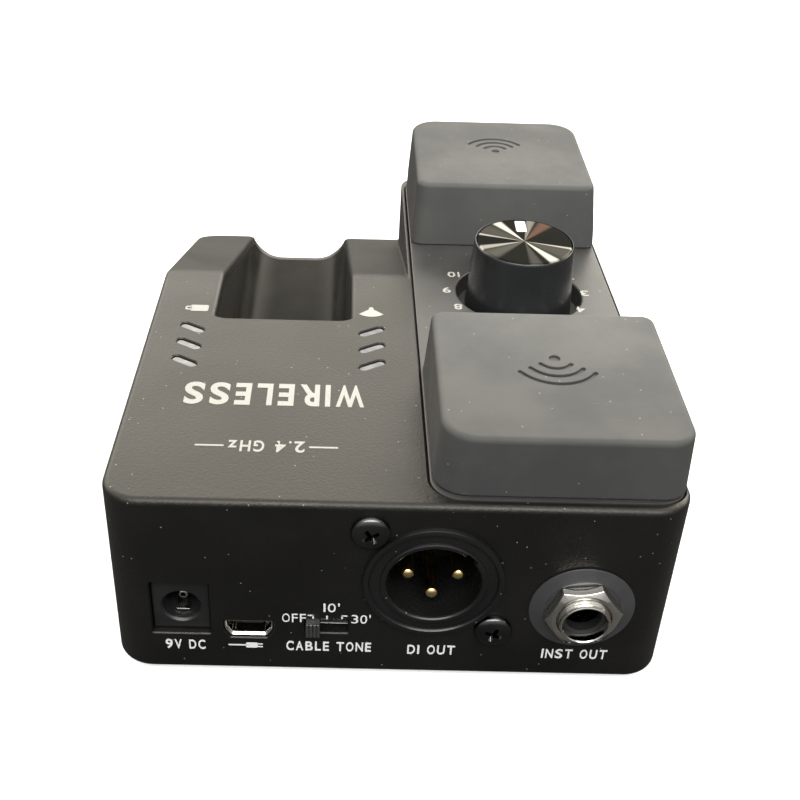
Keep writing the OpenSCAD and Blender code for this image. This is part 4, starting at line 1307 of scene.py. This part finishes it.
def studio_light():
    """World light drawn from the view direction; the camera itself sees plain white."""
    world = bpy.data.worlds.new("studio")
    bpy.context.scene.world = world
    sky = Nodes(world)
    axis = sky.add("SeparateXYZ", Vector=sky.add("TexCoord").outputs["Generated"]).outputs
    x, y, z = axis["X"], axis["Y"], axis["Z"]
    # A tall soft panel behind the object, stronger to the right
    band = sky.math("MULTIPLY", sky.span(z, 0.02, 0.24), sky.span(z, 0.80, 0.62))
    band = sky.math("MULTIPLY", band, sky.span(y, 0.0, 0.45))
    sides = sky.math("ADD", sky.span(x, 0.02, -0.45, 2.9, 4.2), sky.span(x, 0.02, 0.55, 0.0, 3.8))
    band = sky.math("MULTIPLY", band, sides)
    # A strip over the camera, a panel overhead and a weak fill from the front
    strip = sky.math("MULTIPLY", sky.span(y, -0.36, -0.48), sky.span(z, 0.60, 0.72, 0, 6.5))
    overhead = sky.math("MULTIPLY", sky.span(z, 0.55, 0.95), 1.6)
    front = sky.math("MULTIPLY", sky.span(y, 0.1, -0.6), sky.span(z, 0.0, 0.5, 0.25, 0.75))
    warm = sky.vector("SCALE", (1.0, 0.95, 0.855), Scale=sky.math("ADD", band, overhead))
    fill = sky.math("ADD", sky.math("ADD", front, 0.09), strip)
    cool = sky.vector("SCALE", (0.98, 1.0, 1.0), Scale=fill)
    seen = sky.add("LightPath").outputs["Is Camera Ray"]
    sky.link(sky.tree.nodes["Background"].inputs["Color"], sky.blend(seen, sky.vector("ADD", warm, cool), 1))


def soft_box(name, place, target, width, height, radiance, colour=(1, 1, 1)):
    """Area light that faces a target; places are in metres."""
    lamp = bpy.data.lights.new(name, "AREA")
    lamp.shape = "RECTANGLE"
    lamp.size = width
    lamp.size_y = height
    lamp.energy = radiance * math.pi * width * height
    lamp.color = colour
    obj = link_object(name, lamp)
    obj.location = place
    obj.rotation_euler = (Vector(target) - Vector(place)).to_track_quat("-Z", "Y").to_euler()
    obj.visible_camera = False
    obj.visible_glossy = False


def floor():
    """Plain pale floor. Its bounce light is kept low, because the real one's is."""
    bm = bmesh.new()
    bmesh.ops.create_grid(bm, x_segments=4, y_segments=4, size=4)
    sheet = add_object("floor", bm)
    sheet.location.z = -0.00003
    material = bpy.data.materials.new("floor")
    paper = Nodes(material)
    paper.tree.nodes.clear()
    pale = paper.add("BsdfDiffuse", Color=tint(0.62)).outputs[0]
    dim = paper.add("BsdfDiffuse", Color=tint(0.06)).outputs[0]
    glow = paper.add("Emission", Strength=0.45).outputs[0]
    lit = paper.add("AddShader")
    paper.link(lit.inputs[0], pale)
    paper.link(lit.inputs[1], glow)
    choose = paper.add("MixShader", Fac=paper.add("LightPath").outputs["Is Camera Ray"])
    paper.link(choose.inputs[1], dim)
    paper.link(choose.inputs[2], lit.outputs[0])
    paper.add("OutputMaterial", Surface=choose.outputs[0])
    sheet.data.materials.append(material)


def camera():
    """The view from above the connector panel: pitch down, a slight yaw and roll, and an off-centre lens."""
    pitch = Matrix.Rotation(math.pi / 2 - math.radians(34.118), 4, "X")
    yaw = Matrix.Rotation(math.radians(-0.475), 4, "Z")
    roll = Matrix.Rotation(math.radians(1.618), 4, "Z")
    data = bpy.data.cameras.new("camera")
    data.sensor_width = 36
    data.lens = 52.872
    data.shift_x = 0.06104
    data.shift_y = -0.03479
    data.clip_start = 0.01
    obj = link_object("camera", data)
    obj.matrix_world = Matrix.Translation((-0.00965, -0.22116, 0.16894)) @ yaw @ pitch @ roll
    bpy.context.scene.camera = obj


enclosure()
antenna_deck()
antenna_cover("rear_antenna_cover", (2, 2, 6, 4.6), (1, 0.1, 1.1, 0.5), (28.6, PANEL_Y + 28.5), -1, 0.97)
antenna_cover("front_antenna_cover", (6, 6, 2.5, 2.5), (0.8, 1.7, 0.5, 0.5), (26.6, PANEL_Y + 121.0), 1, 0.88)
channel_knob()
xlr_socket()
xlr_screws()
xlr_pins()
output_jack()
usb_socket()
dc_socket()
tone_slider()
dock_cradle()
light_windows("battery_led_windows", window_places()[:3], BATTERY_WINDOW)
light_windows("signal_led_windows", window_places()[3:], SIGNAL_WINDOW)
panel_prints()
deck_prints()
other_nodes()
studio_light()
soft_box("between_covers", (0.031, -0.022, 0.115), (0.027, 0.032, 0.046), 0.05, 0.03, 18, (1, 0.99, 0.95))
floor()
camera()
bpy.context.scene.view_settings.view_transform = "Standard"
